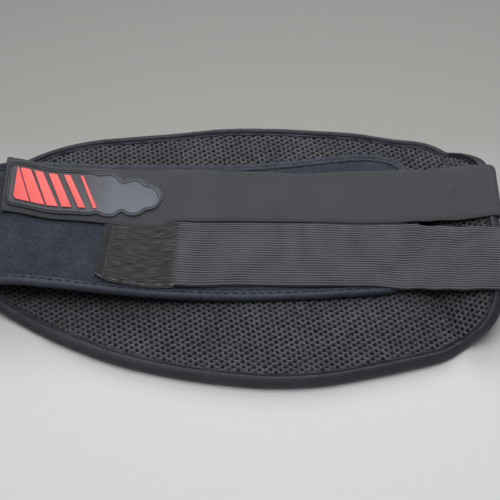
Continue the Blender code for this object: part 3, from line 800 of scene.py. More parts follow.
def smooth_strap_material():
    """Fine, flat, tight weave in dark grey, with a few specks of lint."""
    finish, tree, coords = start_material("smooth_weave", 0.75, 0.04, cloth=True)
    yarn = mottled(tree, coords, (1100.0, 3.0, 0.6), (0.30, 0.76), (0.70, 1.30), STRAP_COLOR)
    patches = mottled(tree, coords, (28.0, 4.0, 0.6), (0.30, 0.92), (0.72, 1.08))
    specks = mottled(tree, coords, (190.0, 1.0), (0.79, 0.0), (0.83, 0.35))
    lint = add_node(tree, "ShaderNodeRGB").outputs[0]
    lint.default_value = (*LINT_COLOR, 1.0)
    color = mix_of(tree, specks, multiply(tree, yarn, patches), lint)
    weave = multiply(tree, wave_of(tree, coords, 0.0010, "Y", 0.6), wave_of(tree, coords, 0.0008, "X", 0.6))
    fine = bump_of(tree, weave, 0.00022)
    return end_material(finish, color, bump_of(tree, noise_of(tree, coords, 60.0), 0.0004, fine))


def ribbed_strap_material():
    """Ribbed elastic with fine cross threads: a painted highlight on the cords and painted shade in the
    grooves between them; darker at the hem and where it is sewn.
    """
    finish, tree, coords = start_material("ribbed_elastic", 0.70, 0.04, cloth=True)
    yarn = mottled(tree, coords, (900.0, 3.0, 0.6), (0.30, 0.80), (0.70, 1.22), RIBBED_COLOR)
    # Painted shade in the grooves and a painted highlight on the cords, following the ribs' height
    grooves = varied(tree, attribute_of(tree, "rib_rise_and_shade"), [(0.25, 0.28), (0.75, 0.85), (1.0, 1.30)])
    patches = mottled(tree, coords, (40.0, 3.0, 0.6), (0.30, 0.90), (0.72, 1.10))
    tone_factor = varied(tree, attribute_of(tree, "dark"), [(0.0, 1.0), (1.0, 0.50)])
    cut = varied(tree, attribute_of(tree, "pale"), [(0.30, 0.0), (0.75, 1.0)])
    fuzz = mottled(tree, coords, (500.0, 3.0), (0.35, 0.16), (0.65, 0.30))
    color = mix_of(tree, cut, multiply(tree, yarn, grooves, patches, tone_factor), fuzz)
    return end_material(finish, color, bump_of(tree, wave_of(tree, coords, 0.0011, "X", 1.2), 0.0003))


def hook_material(name, color):
    """Hook tape: rows of tiny hooks."""
    finish, tree, coords = start_material(name, 0.6)
    plastic = mottled(tree, coords, (900.0,), (0.35, 0.6), (0.65, 1.5), color)
    hooks = multiply(tree, wave_of(tree, coords, 0.0016, "X"), wave_of(tree, coords, 0.0012, "Y"))
    return end_material(finish, plastic, bump_of(tree, hooks, 0.0005))


def thread_material(name, color):
    """Twisted sewing thread."""
    finish, tree, coords = start_material(name, 0.6, 0.1)
    twist = wave_of(tree, coords, 0.0005, "DIAGONAL")
    strands = varied(tree, twist, [(0.2, 0.75), (0.8, 1.25)], color)
    return end_material(finish, strands, bump_of(tree, twist, 0.0001))


def rubber_material(name, color, roughness, paler=None):
    """Soft moulded rubber with a fine satin grain. The badge's goes over to a paler colour at its right
    end; its ridges get a painted highlight and its grooves painted shade, with some scuffing."""
    finish, tree, coords = start_material(name, roughness, gloss=0.25)
    grain = ((120.0, 4.0, 0.6), (0.30, 0.95), (0.70, 1.05))
    if paler is None:
        tone = mottled(tree, coords, *grain, color)
    else:
        share = share_along(tree, coords, "X", PATCH_X, PATCH_X + PATCH_LENGTH)
        fade = ramp_of(tree, share, [(0.48, color), (0.70, paler), (0.90, paler)])
        # Painted highlight on the ridges and painted shade in the grooves, with some scuffing
        edges = varied(tree, attribute_of(tree, "wear_and_painted_light"), [(0.0, 0.40), (0.5, 1.0), (1.0, 1.9)])
        tone = multiply(tree, fade, mottled(tree, coords, *grain), edges)
    return end_material(finish, tone, bump_of(tree, noise_of(tree, coords, 1400.0), 0.00005))


# Surfaces


def side_pairs(spots, steps):
    """Split an outline into its near side and its far side, in pairs from the seam to the end."""
    half = (len(spots) - steps + 1) // 2
    return spots[:half], spots[::-1][:half]


def pad_mesh(name, lay, near, far, rows, half, top, finish):
    """A closed pad between a near and a far side, flat below. top gives the lift of its upper face from
    a spot and its shares along and across. Returns the pad, and the spot and row of each vertex."""
    columns = len(near)
    vertices, places, spots = [], [], []
    for upper in (False, True):
        for column, (near_spot, far_spot) in enumerate(zip(near, far)):
            for row in range(rows + 1):
                spot = near_spot.lerp(far_spot, row / rows)
                lift = top(spot, column / (columns - 1), row / rows) if upper else -half
                vertices.append(lay(spot.x, spot.y, lift))
                places.append((spot.x, spot.y))
                spots.append((spot, row))
    above = columns * (rows + 1)
    faces = []
    for column in range(columns - 1):
        for row in range(rows):
            corner = column * (rows + 1) + row
            beside = corner + rows + 1
            faces.append((corner, corner + 1, beside + 1, beside))
            faces.append((above + corner, above + beside, above + beside + 1, above + corner + 1))
    rim = [column * (rows + 1) for column in range(columns)]
    rim += [(columns - 1) * (rows + 1) + row for row in range(1, rows + 1)]
    rim += [column * (rows + 1) + rows for column in range(columns - 2, -1, -1)]
    rim += [row for row in range(rows - 1, 0, -1)]
    for here, following in zip(rim, rim[1:] + rim[:1]):
        faces.append((here, following, above + following, above + here))
    piece = add_mesh(name, vertices, faces, finish, 50)
    set_uv(piece, places)
    return piece, spots


def tape_mesh(name, lay, outline, width, half, section, pitch, finish):
    """A sewn binding: a rounded section run along an outline's inner side, puckered by its stitches."""
    tracks = [inset_outline(lay, outline, inset * width) for inset, _ in section]
    run = line_lengths([lay(spot.x, spot.y) for spot in outline])
    vertices, places = [], []
    for index in range(len(outline)):
        for (inset, lift), track in zip(section, tracks):
            raised = lift
            if lift > 0:
                near_seam = math.exp(-((inset - 0.7) / 0.25) ** 2)
                raised += 0.10 * near_seam * math.cos(math.tau * run[index] / pitch)
                raised += unevenness((run[index], inset * width, lift), 0.006, 0.10)
            vertices.append(lay(track[index].x, track[index].y, raised * half))
            places.append((run[index], inset * width))
    piece = add_mesh(name, vertices, capped_faces(len(outline), len(section)), finish, 60)
    set_uv(piece, places)
    return piece


def stitch_mesh(name, path, normals, pitch, length, radius, finish, skip=None):
    """A row of sunk stitches along a path."""
    run = line_lengths(path)
    vertices, faces = [], []

    def spot_at(distance):
        part = place_on(run, distance)
        share = clamp((distance - run[part]) / max(run[part + 1] - run[part], 1e-9), 0.0, 1.0)
        return path[part].lerp(path[part + 1], share), normals[part].lerp(normals[part + 1], share)

    for number in range(int((run[-1] - length) / pitch) + 1):
        start = number * pitch + (pitch - length) / 2
        if skip is not None and skip(spot_at(start)[0]):
            continue
        faces += capped_faces(len(STITCH_SHAPE), STITCH_SIDES, len(vertices))
        for share, swell, rise in STITCH_SHAPE:
            middle, normal = spot_at(start + share * length)
            ahead, _ = spot_at(start + share * length + STITCH_PROBE)
            way = (ahead - middle).normalized()
            aside = way.cross(normal).normalized()
            for side in range(STITCH_SIDES):
                angle = math.tau * side / STITCH_SIDES
                vertices.append(middle + normal * radius * (rise + math.sin(angle) * swell * 0.8)
                                + aside * radius * math.cos(angle) * swell)
    return add_mesh(name, vertices, faces, finish)


def track_on(lay, outline, inset, lift):
    """A path on a surface along an outline, with its normals."""
    spots = inset_outline(lay, outline, inset)
    path = [lay(spot.x, spot.y, lift) for spot in spots]
    normals = [(lay(spot.x, spot.y, 0.001) - lay(spot.x, spot.y)).normalized() for spot in spots]
    return path, normals


# Cloth simulation


def held_vertices(spots, rows, pressed):
    """Which of a pad's vertices are held: its underside, its rim, and where it is pressed down."""
    half = len(spots) // 2
    rim = rows + 1
    held = []
    for index, (spot, row) in enumerate(spots):
        on_rim = row in (0, rows) or not rim <= index % half < half - rim
        held.append(index < half or on_rim or pressed(spot))
    return held


def let_swell(pad, held, pressure, cap):
    """Simulate a pad as stuffed cloth that swells between the vertices that are held, and keep the
    result. Returns how far each vertex moved outwards."""
    mesh = pad.data
    rest = [vertex.co.copy() for vertex in mesh.vertices]
    group = pad.vertex_groups.new(name="held")
    group.add([index for index, still in enumerate(held) if still], 1.0, "REPLACE")
    cloth = pad.modifiers.new("swelling", "CLOTH")
    for key, value in SWELL_SETTINGS.items():
        setattr(cloth.settings, key, value)
    cloth.settings.uniform_pressure_force = pressure
    cloth.settings.effector_weights.gravity = 0.0
    cloth.point_cache.frame_end = SIMULATED_FRAMES
    scene = bpy.context.scene
    for frame in range(1, SIMULATED_FRAMES + 1):
        scene.frame_set(frame)
    swollen = pad.evaluated_get(bpy.context.evaluated_depsgraph_get())
    places = [vertex.co.copy() for vertex in swollen.data.vertices]
    pad.modifiers.remove(cloth)
    pad.vertex_groups.clear()
    scene.frame_set(1)
    normals = [Vector(normal.vector) for normal in mesh.vertex_normals]
    moved = []
    for vertex, start, place, normal in zip(mesh.vertices, rest, places, normals):
        move = place - start
        if move.length > cap:
            move *= cap / move.length
        vertex.co = start + move
        moved.append(move.dot(normal))
    return moved


def subdivide_once(piece):
    """Smooth a piece with one level of subdivision."""
    piece.modifiers.new("smoothing", "SUBSURF").levels = 1
    smooth = piece.evaluated_get(bpy.context.evaluated_depsgraph_get())
    mesh = bpy.data.meshes.new_from_object(smooth)
    piece.modifiers.clear()
    piece.data = mesh


def swell_lookup(places, moved):
    """A function that gives how far the nearest simulated places moved."""
    tree = KDTree(len(places))
    for index, (x, y) in enumerate(places):
        tree.insert((x, y, 0.0), index)
    tree.balance()

    def swell(x, y):
        nearby = tree.find_n((x, y, 0.0), 4)
        weights = [1 / (distance + 0.0002) for _, _, distance in nearby]
        total = sum(weight * moved[index] for weight, (_, index, _) in zip(weights, nearby))
        return total / sum(weights)

    return swell


# Air mesh of the back panel


def edge_distances(places, line):
    """Distance of flat places from a closed line, less than 0 outside it, and the nearest place on it."""
    spots = numpy.array([(spot.x, spot.y) for spot in line])
    stops = numpy.roll(spots, -1, axis=0)
    ways = stops - spots
    lengths = numpy.maximum((ways ** 2).sum(1), 1e-16)
    distances = numpy.empty(len(places))
    nearest = numpy.empty((len(places), 2))
    for start in range(0, len(places), 4000):
        part = places[start:start + 4000]
        offset = part[:, None, :] - spots[None]
        shares = numpy.clip((offset * ways[None]).sum(2) / lengths[None], 0, 1)
        feet = spots[None] + ways[None] * shares[..., None]
        gaps = numpy.sqrt(((part[:, None, :] - feet) ** 2).sum(2))
        best = gaps.argmin(1)
        rows = numpy.arange(len(part))
        above = spots[None, :, 1] > part[:, None, 1]
        below = stops[None, :, 1] > part[:, None, 1]
        rise = numpy.where(ways[:, 1] == 0, 1e-16, ways[:, 1])
        cross_x = spots[None, :, 0] + (part[:, None, 1] - spots[None, :, 1]) * (ways[:, 0] / rise)[None]
        inside = ((above != below) & (part[:, None, 0] < cross_x)).sum(1) % 2 == 1
        distances[start:start + 4000] = numpy.where(inside, gaps[rows, best], -gaps[rows, best])
        nearest[start:start + 4000] = feet[rows, best]
    return distances, nearest


def true_x_tables():
    """For rows across the panel, flat X against true length along the panel from its middle."""
    xs = numpy.arange(SEAM_X - 0.004, END_X + 0.004, 0.001)
    rows = numpy.arange(-0.13, 0.1301, 0.005)
    tables = []
    for y in rows:
        heights = numpy.array([panel_middle(x, y) for x in xs])
        steps = numpy.sqrt(numpy.diff(xs) ** 2 + numpy.diff(heights) ** 2)
        lengths = numpy.concatenate([[0], numpy.cumsum(steps)])
        tables.append(lengths - numpy.interp(0.0, xs, lengths))
    return xs, rows, tables


def true_to_flat(places):
    """Turn places measured along the cloth into flat X and Y."""
    xs, rows, tables = true_x_tables()
    step = rows[1] - rows[0]
    flat = []
    for along, y in places:
        row = int(clamp((y - rows[0]) / step, 0, len(rows) - 2))
        share = clamp((y - rows[row]) / step, 0.0, 1.0)
        low = numpy.interp(along, tables[row], xs)
        high = numpy.interp(along, tables[row + 1], xs)
        flat.append((low + (high - low) * share, y))
    return numpy.array(flat)


def hidden_by_wing(x, y):
    """Whether a place lies under the wing where the wing rests on the panel, well inside its edges."""
    return -0.030 < x < TIP_X - 0.030 and -0.034 < y < 0.052


def ridge(distance, place, width, height):
    """Height of a soft ridge, or of a groove, at a distance past a crease."""
    return height * math.exp(-((distance - place) / width) ** 2)


def creases(x, y):
    """Ridge and groove of the crease at the right, and the hollow at the left under the wing."""
    past = x - crease_x(y)
    right = ridge(past, *RIGHT_RIDGE) + ridge(past, *RIGHT_GROOVE)
    beyond = (y - LEFT_CREASE.y) * 0.884 - (x - LEFT_CREASE.x) * 0.468
    fade = ease((LEFT_CREASE.x + LEFT_FADE - x) / LEFT_FADE)
    left = LEFT_HOLLOW * ease(beyond / 0.006) * fade + ridge(beyond, *LEFT_RIDGE) * fade
    return right + left * ease((x - SEAM_X) / 0.004)


def panel_top(x, y, distance):
    """How far the panel's cloth stands off its middle surface: it dips beside the binding."""
    dip = TAPE_DIP * math.exp(-max(distance, 0.0) / PANEL_DIP_FADE)
    inner = ease(distance / 0.006)
    return HALF_PANEL - dip + unevenness((x, y, 0.0), 0.035, 0.0007) + creases(x, y) * inner


def net_drift(along, y):
    """How far the net wanders off its even pattern."""
    return noise.noise_vector(Vector((along, y, 3.0)) / NET_WANDER_SIZE) * NET_WANDER


def net_cells():
    """The net's six-sided cells, as their middle and the numbers of their border's places, and the
    places, all measured along the cloth."""
    cells, keys, places = [], {}, []

    def corner(along, y):
        key = (round(along * 1e5), round(y * 1e5))
        if key not in keys:
            keys[key] = len(places)
            drift = net_drift(along, y)
            places.append((along + drift.x - NET_LEAN * y, y + drift.y))
        return keys[key]

    half_y = NET_PITCH / 2
    pitch_x = NET_PITCH * math.sqrt(3)
    rows = int(PANEL_HEIGHT / 2 / half_y) + 1
    columns = int(NET_REACH / pitch_x)
    for row in range(-rows, rows + 1):
        for column in range(-columns, columns + 1):
            along = (column + 0.5 * (row % 2)) * pitch_x
            y = row * half_y
            corners = [(along + pitch_x / 3 * math.cos(math.tau * turn / 6),
                        y + pitch_x / 3 * math.sin(math.tau * turn / 6)) for turn in range(6)]
            border = []
            for first, second in zip(corners, corners[1:] + corners[:1]):
                border.append(corner(*first))
                border.append(corner((first[0] + second[0]) / 2, (first[1] + second[1]) / 2))
            cells.append((along, y, border))
    return cells, places


def build_net(finish, swell):
    """Knitted net with staggered holes: each hole is a ring inside its own six-sided cell. It follows
    the simulated swell of the pad under it."""
    random.seed(NET_SEED)
    noise.seed_set(NET_SEED)
    line = inset_outline(panel_point, panel_outline(NET_EDGE_STEPS), PANEL_BINDING - 0.0002)
    cells, places = net_cells()
    middles = true_to_flat([(along - NET_LEAN * y, y) for along, y, _ in cells])
    inside, _ = edge_distances(middles, line)
    holes = []
    for (along, y, border), middle, distance in zip(cells, middles, inside):
        if distance <= -NET_OVERHANG or hidden_by_wing(*middle):
            continue
        size = 1 + random.uniform(*HOLE_SIZES)
        drift = net_drift(along, y)
        holes.append((border, len(places)))
        for turn in range(RING_SIZE):
            angle = math.tau * turn / RING_SIZE
            places.append((along - NET_LEAN * y + drift.x + NET_HOLE_LONG / 2 * size * math.cos(angle),
                           y + drift.y + NET_HOLE_TALL / 2 * size * math.sin(angle)))
    flat = true_to_flat(places)
    distances, nearest = edge_distances(flat, line)
    outside = distances < 0
    flat[outside] = nearest[outside]
    vertices, used = [], {}

    def vertex(place, sink, middle=None):
        key = (place, sink)
        if key not in used:
            x, y = flat[place]
            if middle is not None:
                x, y = x + (middle[0] - x) * NET_NARROWING, y + (middle[1] - y) * NET_NARROWING
            used[key] = len(vertices)
            top = panel_top(x, y, distances[place]) + swell(x, y)
            vertices.append(panel_point(x, y, top - sink))
        return used[key]

    faces = []
    for border, ring in holes:
        middle = flat[ring:ring + RING_SIZE].mean(0)
        for turn in range(RING_SIZE):
            following = (turn + 1) % RING_SIZE
            outer, outer_next = border[turn], border[following]
            inner, inner_next = ring + turn, ring + following
            if outside[inner] and outside[inner_next] and outside[outer] and outside[outer_next]:
                continue
            faces.append((vertex(outer, 0.0), vertex(outer_next, 0.0),
                          vertex(inner_next, NET_ROUND), vertex(inner, NET_ROUND)))
            faces.append((vertex(inner, NET_ROUND), vertex(inner_next, NET_ROUND),
                          vertex(inner_next, NET_DEPTH, middle), vertex(inner, NET_DEPTH, middle)))
    piece = add_mesh("air_net", vertices, faces, finish)
    return piece


def build_panel(net_finish, backing_finish, tape_finish, thread_finish):
    inner = inset_outline(panel_point, panel_outline(PAD_STEPS), PANEL_BINDING + PAD_GAP)
    near, far = side_pairs(inner, PAD_STEPS)

    def top(spot, along, across):
        edge = min(across, 1 - across) * PANEL_HEIGHT
        return panel_top(spot.x, spot.y, edge) - NET_DEPTH - PAD_GAP

    def under_wing(spot):
        return spot.x < TIP_X - 0.004 and WING_HOLDS_NEAR < spot.y < WING_HOLDS_FAR

    pad, spots = pad_mesh("panel_pad", panel_point, near, far, PANEL_ROWS, HALF_PANEL, top, backing_finish)
    moved = let_swell(pad, held_vertices(spots, PANEL_ROWS, under_wing), PANEL_PRESSURE, PANEL_SWELL_CAP)
    half = len(spots) // 2
    net = build_net(net_finish, swell_lookup([spot for spot, _ in spots[half:]], moved[half:]))
    subdivide_once(pad)
    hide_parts("back_panel")
    outline = panel_outline(TAPE_STEPS)
    binding = tape_mesh("panel_tape_roll", panel_point, outline, PANEL_BINDING, HALF_PANEL,
                        PANEL_TAPE_SECTION, PANEL_STITCH, tape_finish)
    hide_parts("panel_binding")
    path, normals = track_on(panel_point, outline, PANEL_BINDING * 0.75, HALF_PANEL * 0.66)
    seam = stitch_mesh("panel_stitches", path, normals, PANEL_STITCH, PANEL_STITCH * 0.62,
                       PANEL_THREAD_RADIUS, thread_finish)
    return [pad, net, binding, seam]


def build_wing(loop_finish, tape_finish, thread_finish):
    inner = inset_outline(wing_point, wing_outline(PAD_STEPS), WING_BINDING + PAD_GAP)
    near, far = side_pairs(inner, PAD_STEPS)

    def top(spot, along, across):
        edge = min(min(across, 1 - across) * WING_HEIGHT * 0.75, (1 - along) * WING_LENGTH)
        dip = TAPE_DIP * math.exp(-edge / WING_DIP_FADE)
        nap = unevenness((spot.x, spot.y, 5.0), 0.004, 0.00025)
        return HALF_WING - dip + unevenness((spot.x, spot.y, 2.0), 0.030, 0.0005) + nap

    def under_strap(spot):
        x = wing_spot(spot.x).x
        upper_near, upper_far = strap_edges(x, True)
        near_hold = strap_edges(x, False)[0] if x > LOWER_LEFT_X else upper_near
        return x > UPPER_LEFT_X and near_hold - 0.001 < spot.y < upper_far + 0.001

    def on_far_side(place):
        return place.y > 0.0

    pad, spots = pad_mesh("wing_pad", wing_point, near, far, WING_ROWS, HALF_WING, top, loop_finish)
    let_swell(pad, held_vertices(spots, WING_ROWS, under_strap), WING_PRESSURE, WING_SWELL_CAP)
    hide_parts("front_wing")
    outline = wing_outline(TAPE_STEPS)
    binding = tape_mesh("wing_tape_roll", wing_point, outline, WING_BINDING, HALF_WING,
                        WING_TAPE_SECTION, WING_STITCH, tape_finish)
    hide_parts("wing_binding")
    path, normals = track_on(wing_point, outline, WING_BINDING * 0.68, HALF_WING * 1.02)
    seam = stitch_mesh("wing_stitches", path, normals, WING_STITCH, WING_STITCH * 0.60,
                       WING_THREAD_RADIUS, thread_finish, on_far_side)
    return [pad, binding, seam]


# Straps


def smooth_heights(line, first, reach):
    """Even out the heights of a line's points from the first one on."""
    smooth = list(line)
    for index in range(first + reach, len(line) - reach):
        nearby = line[index - reach:index + reach + 1]
        smooth[index] = Vector((line[index].x, sum(point.y for point in nearby) / len(nearby)))
    return smooth


def strap_stations(upper, left_x, skew, hook_length):
    """Middle places and outward normals of a strap's near and far edge, station by station."""
    sides = []
    for side in (0, 1):
        line = strap_line(upper, side, left_x, left_x + skew * side, hook_length)
        for _ in range(2):
            line = smooth_heights(line, EVEN_FROM, EVEN_REACH)
        stations = []
        for index, middle in enumerate(line):
            step = (line[min(index + 1, len(line) - 1)] - line[max(index - 1, 0)]).normalized()
            y = strap_edges(middle.x, upper)[side]
            stations.append((Vector((middle.x, y, middle.y)), Vector((step.y, 0, -step.x))))
        sides.append(stations)
    return sides


def strap_mesh(name, sides, across, height, finish, pale_length=0.0):
    """A strap between its near and far edge. height gives how far its upper face stands off the plain
    strap, the ribs' share of height, which also sets the painted shade in the grooves and the painted
    highlight on the cords, and its darkness, from the length left to its end and its share across.
    Returns the strap and its length."""
    run = line_lengths([(near + far) / 2 for (near, _), (far, _) in zip(*sides)])
    rows = []
    for (near, near_out), (far, far_out), passed in zip(*sides, run):
        width = (far - near).length
        left = run[-1] - passed
        cut = 0.6 + unevenness((left, 0.0, 12.0), 0.006, 0.7) if left < pale_length else 0.0
        for step in range(across + 1):
            share = step / across
            raised, rib_rise_and_shade, dark = height(left, share)
            rounding = EDGE_ROUND * math.exp(-min(share, 1 - share) * width / EDGE_ROUND)
            lift = near_out.lerp(far_out, share) * (HALF_STRAP + raised - rounding)
            pale = cut if share * width < 0.0008 else 0.0
            rows.append((near.lerp(far, share) + lift, (passed, share * width), rib_rise_and_shade, dark, pale))
        for share in (1.0, 0.0):
            place = near.lerp(far, share) - near_out.lerp(far_out, share) * HALF_STRAP
            rows.append((place, (passed, share * width), 1.0, 0.0, max(cut, 0.0) * (1 - share)))
    vertices, places, ribs, darks, pales = zip(*rows)
    piece = add_mesh(name, vertices, capped_faces(len(run), across + 3), finish, 60)
    set_uv(piece, places)
    for label, values in (("rib_rise_and_shade", ribs), ("dark", darks), ("pale", pales)):
        piece.data.attributes.new(label, "FLOAT", "POINT").data.foreach_set("value", values)
    return piece, run[-1]


def dress(node, finish):
    """Give one of the model's own solids a material."""
    node.data.materials.clear()
    node.data.materials.append(finish)


def build_upper_strap(finish, hook_finish, nodes):
    sides = strap_stations(True, UPPER_LEFT_X, 0.0, UPPER_HOOK_LENGTH)

    def height(left, share):
        soft = unevenness((left, share * 0.05, 7.0), 0.045, 0.0006)
        hem = 0.0007 * (1 - ease((left - 0.004) / 0.002)) * ease(left / 0.0012)
        return max(soft, -0.0001) + hem, 1.0, 0.0

    strap, length = strap_mesh("smooth_strap_cloth", sides, 26, height, finish)
    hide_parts("upper_strap")
    dress(nodes["upper_hook_pad"], hook_finish)
    return strap


def rib_height(share, wander):
    """Height of the ribs across the strap, rounded with narrow grooves, from 0 to 1."""
    return math.sqrt(abs(math.sin(math.pi * (share * RIB_COUNT + wander))))


def build_lower_strap(finish, hook_finish, nodes):
    sides = strap_stations(False, LOWER_LEFT_X, LOWER_END_SKEW, LOWER_HOOK_LENGTH)

    def height(left, share):
        aside = share * LOWER_STRAP_WIDTH
        # The second value is the ribs' share of height, which also sets their painted shade and highlight,
        # on the hem's folded edge too; the third darkens the hem and the sewn part
        if left < HEM_LENGTH - HEM_EDGE:
            roll = 0.0006 * math.exp(-left / 0.0008)
            rumple = unevenness((left, aside, 6.0), 0.008, 0.0003)
            return HEM_THICKNESS - roll + rumple, 0.62 + 0.25 * math.exp(-left / 0.0012), 1.0
        if left < HEM_LENGTH:
            return HEM_THICKNESS + 0.0002, 0.90, 0.65 + unevenness((left, aside, 8.0), 0.004, 0.6)
        sewn = 1 - ease((left - LOWER_HOOK_LENGTH + 0.004) / 0.008)
        wander = unevenness((left, aside, 9.0), 0.022, 1.1) * sewn
        wander += unevenness((left, aside, 1.0), 0.060, 0.35)
        rib_rise_and_shade = rib_height(share, wander)
        streak = 0.5 + unevenness((left * 0.12, aside, 3.0), 0.0012, 0.9)
        rib_rise_and_shade += (clamp(streak, 0.0, 1.0) - rib_rise_and_shade) * 0.55 * sewn
        raised = RIB_HEIGHT * rib_rise_and_shade * (1 - 0.25 * sewn) + unevenness((left, aside, 4.0), 0.04, 0.0003)
        return max(raised, 0.0), rib_rise_and_shade, sewn * 0.6

    strap, length = strap_mesh("ribbed_strap_cloth", sides, RIB_COUNT * 6, height, finish,
                               LOWER_HOOK_LENGTH + 0.002)
    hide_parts("lower_strap")
    dress(nodes["lower_hook_pad"], hook_finish)
    return strap


# Rubber badge


def patch_half(along):
    """Half the badge's height at a length from its left end, before smoothing."""
    half = PATCH_HEIGHT / 2
    aside = 0.0
    body = PATCH_BODY_SHARE * PATCH_LENGTH
    if along <= body:
        into = PATCH_CORNER - min(along, body - along, PATCH_CORNER)
        aside = half - PATCH_CORNER + math.sqrt(PATCH_CORNER ** 2 - into ** 2)
    for place, out, size in PATCH_LOBES:
        radius = size * PATCH_LENGTH
        into = along - place * PATCH_LENGTH
        if abs(into) < radius:
            aside = max(aside, out * PATCH_LENGTH + math.sqrt(radius ** 2 - into ** 2))
    return min(aside, half)


def patch_outline():
    """The badge's outline as near and far spots from left to right, closer together at its ends."""
    halves = []
    for step in range(PATCH_STEPS + 1):
        along = PATCH_LENGTH * (1 - math.cos(math.pi * step / PATCH_STEPS)) / 2
        nearby = [clamp(along + shift * PATCH_LENGTH / PATCH_SPREAD / 3, 0.0, PATCH_LENGTH)
                  for shift in range(-3, 4)]
        half = sum(patch_half(place) for place in nearby) / len(nearby)
        halves.append((along, max(half, PATCH_LEAST)))
    near = [Vector((along, -half)) for along, half in halves]
    far = [Vector((along, half)) for along, half in halves]
    return near + far[::-1]


def patch_point(along, aside, lift=0.0):
    """A point on the badge's underside, or lifted off it at right angles."""
    x = PATCH_X + along
    near, far = strap_edges(x, True)
    height = laid_middle(x, UPPER_LEFT_X, UPPER_HOOK_LENGTH)
    slope = (laid_middle(x + PROBE, UPPER_LEFT_X, UPPER_HOOK_LENGTH) - height) / PROBE
    normal = Vector((-slope, 0, 1)).normalized()
    return Vector((x, (near + far) / 2 + PATCH_ASIDE + aside, height)) + normal * (HALF_STRAP + GAP + lift)


def patch_rings(outline, profile):
    """Rings of vertices inside an outline on the badge's ground, by rows of an inset and a lift."""
    vertices = []
    for inset, lift in profile:
        spots = inset_outline(patch_point, outline, inset, closed=True)
        vertices += [patch_point(spot.x, spot.y, lift) for spot in spots]
    return vertices


def build_patch(finish):
    outline = patch_outline()
    count = len(outline)
    vertices = patch_rings(outline, [(inset, lift) for inset, lift, _ in PATCH_PROFILE])
    faces = tube_faces(len(PATCH_PROFILE), count)
    field = (len(PATCH_PROFILE) - 1) * count
    for index in range(count // 2 - 1):
        opposite = count - 1 - index
        faces.append((index, opposite, opposite - 1, index + 1))
        faces.append((field + index, field + index + 1, field + opposite - 1, field + opposite))
    piece = add_mesh("badge", vertices, faces, finish, 35)
    # Each ring's painted light: lighter for a painted highlight on the ridges, darker for painted shade in
    # the grooves
    wear_and_painted_light = [tone_factor for _, _, tone_factor in PATCH_PROFILE for _ in outline]
    piece.data.attributes.new("wear_and_painted_light", "FLOAT", "POINT").data.foreach_set("value", wear_and_painted_light)
    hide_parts("patch")
    return piece


def rounded_corners(corners, radii, steps):
    """A closed outline through corners, each rounded by its own radius."""
    outline = []
    count = len(corners)
    for index, (corner, radius) in enumerate(zip(corners, radii)):
        before = (corners[index - 1] - corner).normalized()
        after = (corners[(index + 1) % count] - corner).normalized()
        half = math.acos(clamp(before.dot(after), -1.0, 1.0)) / 2
        reach = radius / math.tan(half)
        start, stop = corner + before * reach, corner + after * reach
        for step in range(steps + 1):
            share = step / steps
            outline.append(start * (1 - share) ** 2 + corner * 2 * share * (1 - share) + stop * share ** 2)
    return outline


def build_stripe(number, stripe, finish):
    """One raised, slanted stripe with rounded edges."""
    far_from, far_to, near_from, near_to = (share * PATCH_LENGTH for share in stripe)
    half = PATCH_HEIGHT / 2 - FIELD_INSET - STRIPE_MARGIN
    corners = [Vector(corner) for corner in (
        (near_from, -half), (near_to, -half), (far_to, half), (far_from, half))]
    outline = rounded_corners(corners, STRIPE_CORNERS.get(number, [STRIPE_CORNER] * 4), 6)
    vertices = patch_rings(outline, [(inset, FIELD_LEVEL + lift) for inset, lift in STRIPE_PROFILE])
    faces = capped_faces(len(STRIPE_PROFILE), len(outline))
    piece = add_mesh(f"stripe_{number}_rubber", vertices, faces, finish, 40)
    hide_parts(f"stripe_{number}")
    return piece


# Stage


def build_stage():
    """A pale sweep whose colour darkens into grey behind the belt: a painted falloff of light."""
    finish, tree, coords = start_material("sweep_painted_falloff", 0.9)
    end_material(finish, ramp_of(tree, share_along(tree, coords, "Y", *SWEEP_PAINTED_FALLOFF_SPAN), SWEEP_PAINTED_FALLOFF_STOPS))
    corners = [(x * SWEEP_HALF, y * SWEEP_HALF, SWEEP_LEVEL)
               for x, y in ((-1, -1), (1, -1), (1, 1), (-1, 1))]
    floor = add_mesh("sweep", corners, [(0, 1, 2, 3)], finish)


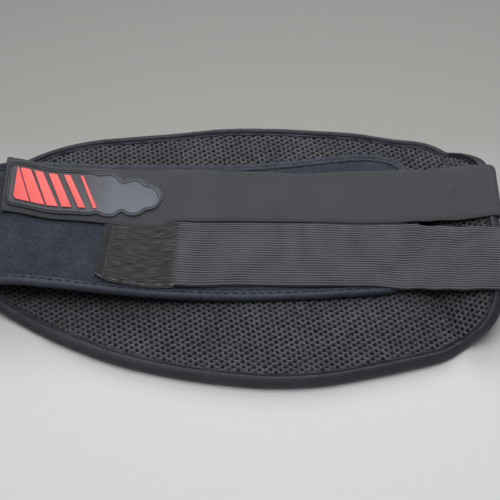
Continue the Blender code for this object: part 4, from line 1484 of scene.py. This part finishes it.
def add_light(name, place, size, power):
    """A square white lamp that faces the belt."""
    light = bpy.data.lights.new(name, "AREA")
    light.shape = "SQUARE"
    light.size = size
    light.energy = power
    lamp = bpy.data.objects.new(name, light)
    lamp.location = place
    lamp.rotation_euler = (-Vector(place)).to_track_quat("-Z", "Y").to_euler()
    bpy.context.scene.collection.objects.link(lamp)


def build_lights():
    add_light("softbox", *SOFTBOX)
    add_light("back_softbox", *BACK_SOFTBOX)
    world = bpy.data.worlds.new("studio")
    world.use_nodes = True
    background = world.node_tree.nodes["Background"]
    background.inputs["Color"].default_value = (*WORLD_COLOR, 1.0)
    background.inputs["Strength"].default_value = WORLD_STRENGTH
    bpy.context.scene.world = world


def build_camera():
    data = bpy.data.cameras.new("photo_view")
    data.lens = CAMERA_LENS
    data.sensor_width = 36.0
    camera = bpy.data.objects.new("photo_view", data)
    back = Vector((0.0, -math.cos(CAMERA_ELEVATION), math.sin(CAMERA_ELEVATION)))
    camera.location = LOOK_AT + back * CAMERA_DISTANCE
    camera.rotation_euler = (math.pi / 2 - CAMERA_ELEVATION, 0.0, 0.0)
    bpy.context.scene.collection.objects.link(camera)
    bpy.context.scene.camera = camera
    bpy.context.scene.view_settings.view_transform = "Standard"


def main():
    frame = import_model()
    nodes = frame["nodes"]
    build_camera()
    build_stage()
    build_lights()
    thread = thread_material("sewing_thread", THREAD_COLOR)
    pieces = build_panel(net_material(), backing_material(),
                         tape_material("panel_tape_knit", PANEL_TAPE_COLOR, 0.50), thread)
    pieces += build_wing(loop_material(), tape_material("wing_tape_knit", WING_TAPE_COLOR, 0.28),
                         thread_material("wing_thread", WING_THREAD_COLOR))
    pieces.append(build_upper_strap(smooth_strap_material(), hook_material("hook_dark", HOOK_COLOR), nodes))
    pieces.append(build_lower_strap(ribbed_strap_material(), hook_material("hook_pale", PALE_HOOK_COLOR),
                                    nodes))
    pieces.append(build_patch(rubber_material("badge_rubber", BADGE_DARK_COLOR, 0.50, BADGE_LIGHT_COLOR)))
    coral = rubber_material("coral_stripe_rubber", CORAL_COLOR, 0.55)
    for number, stripe in enumerate(STRIPES, start=1):
        pieces.append(build_stripe(number, stripe, coral))
    for piece in pieces:
        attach(piece, "root")


main()
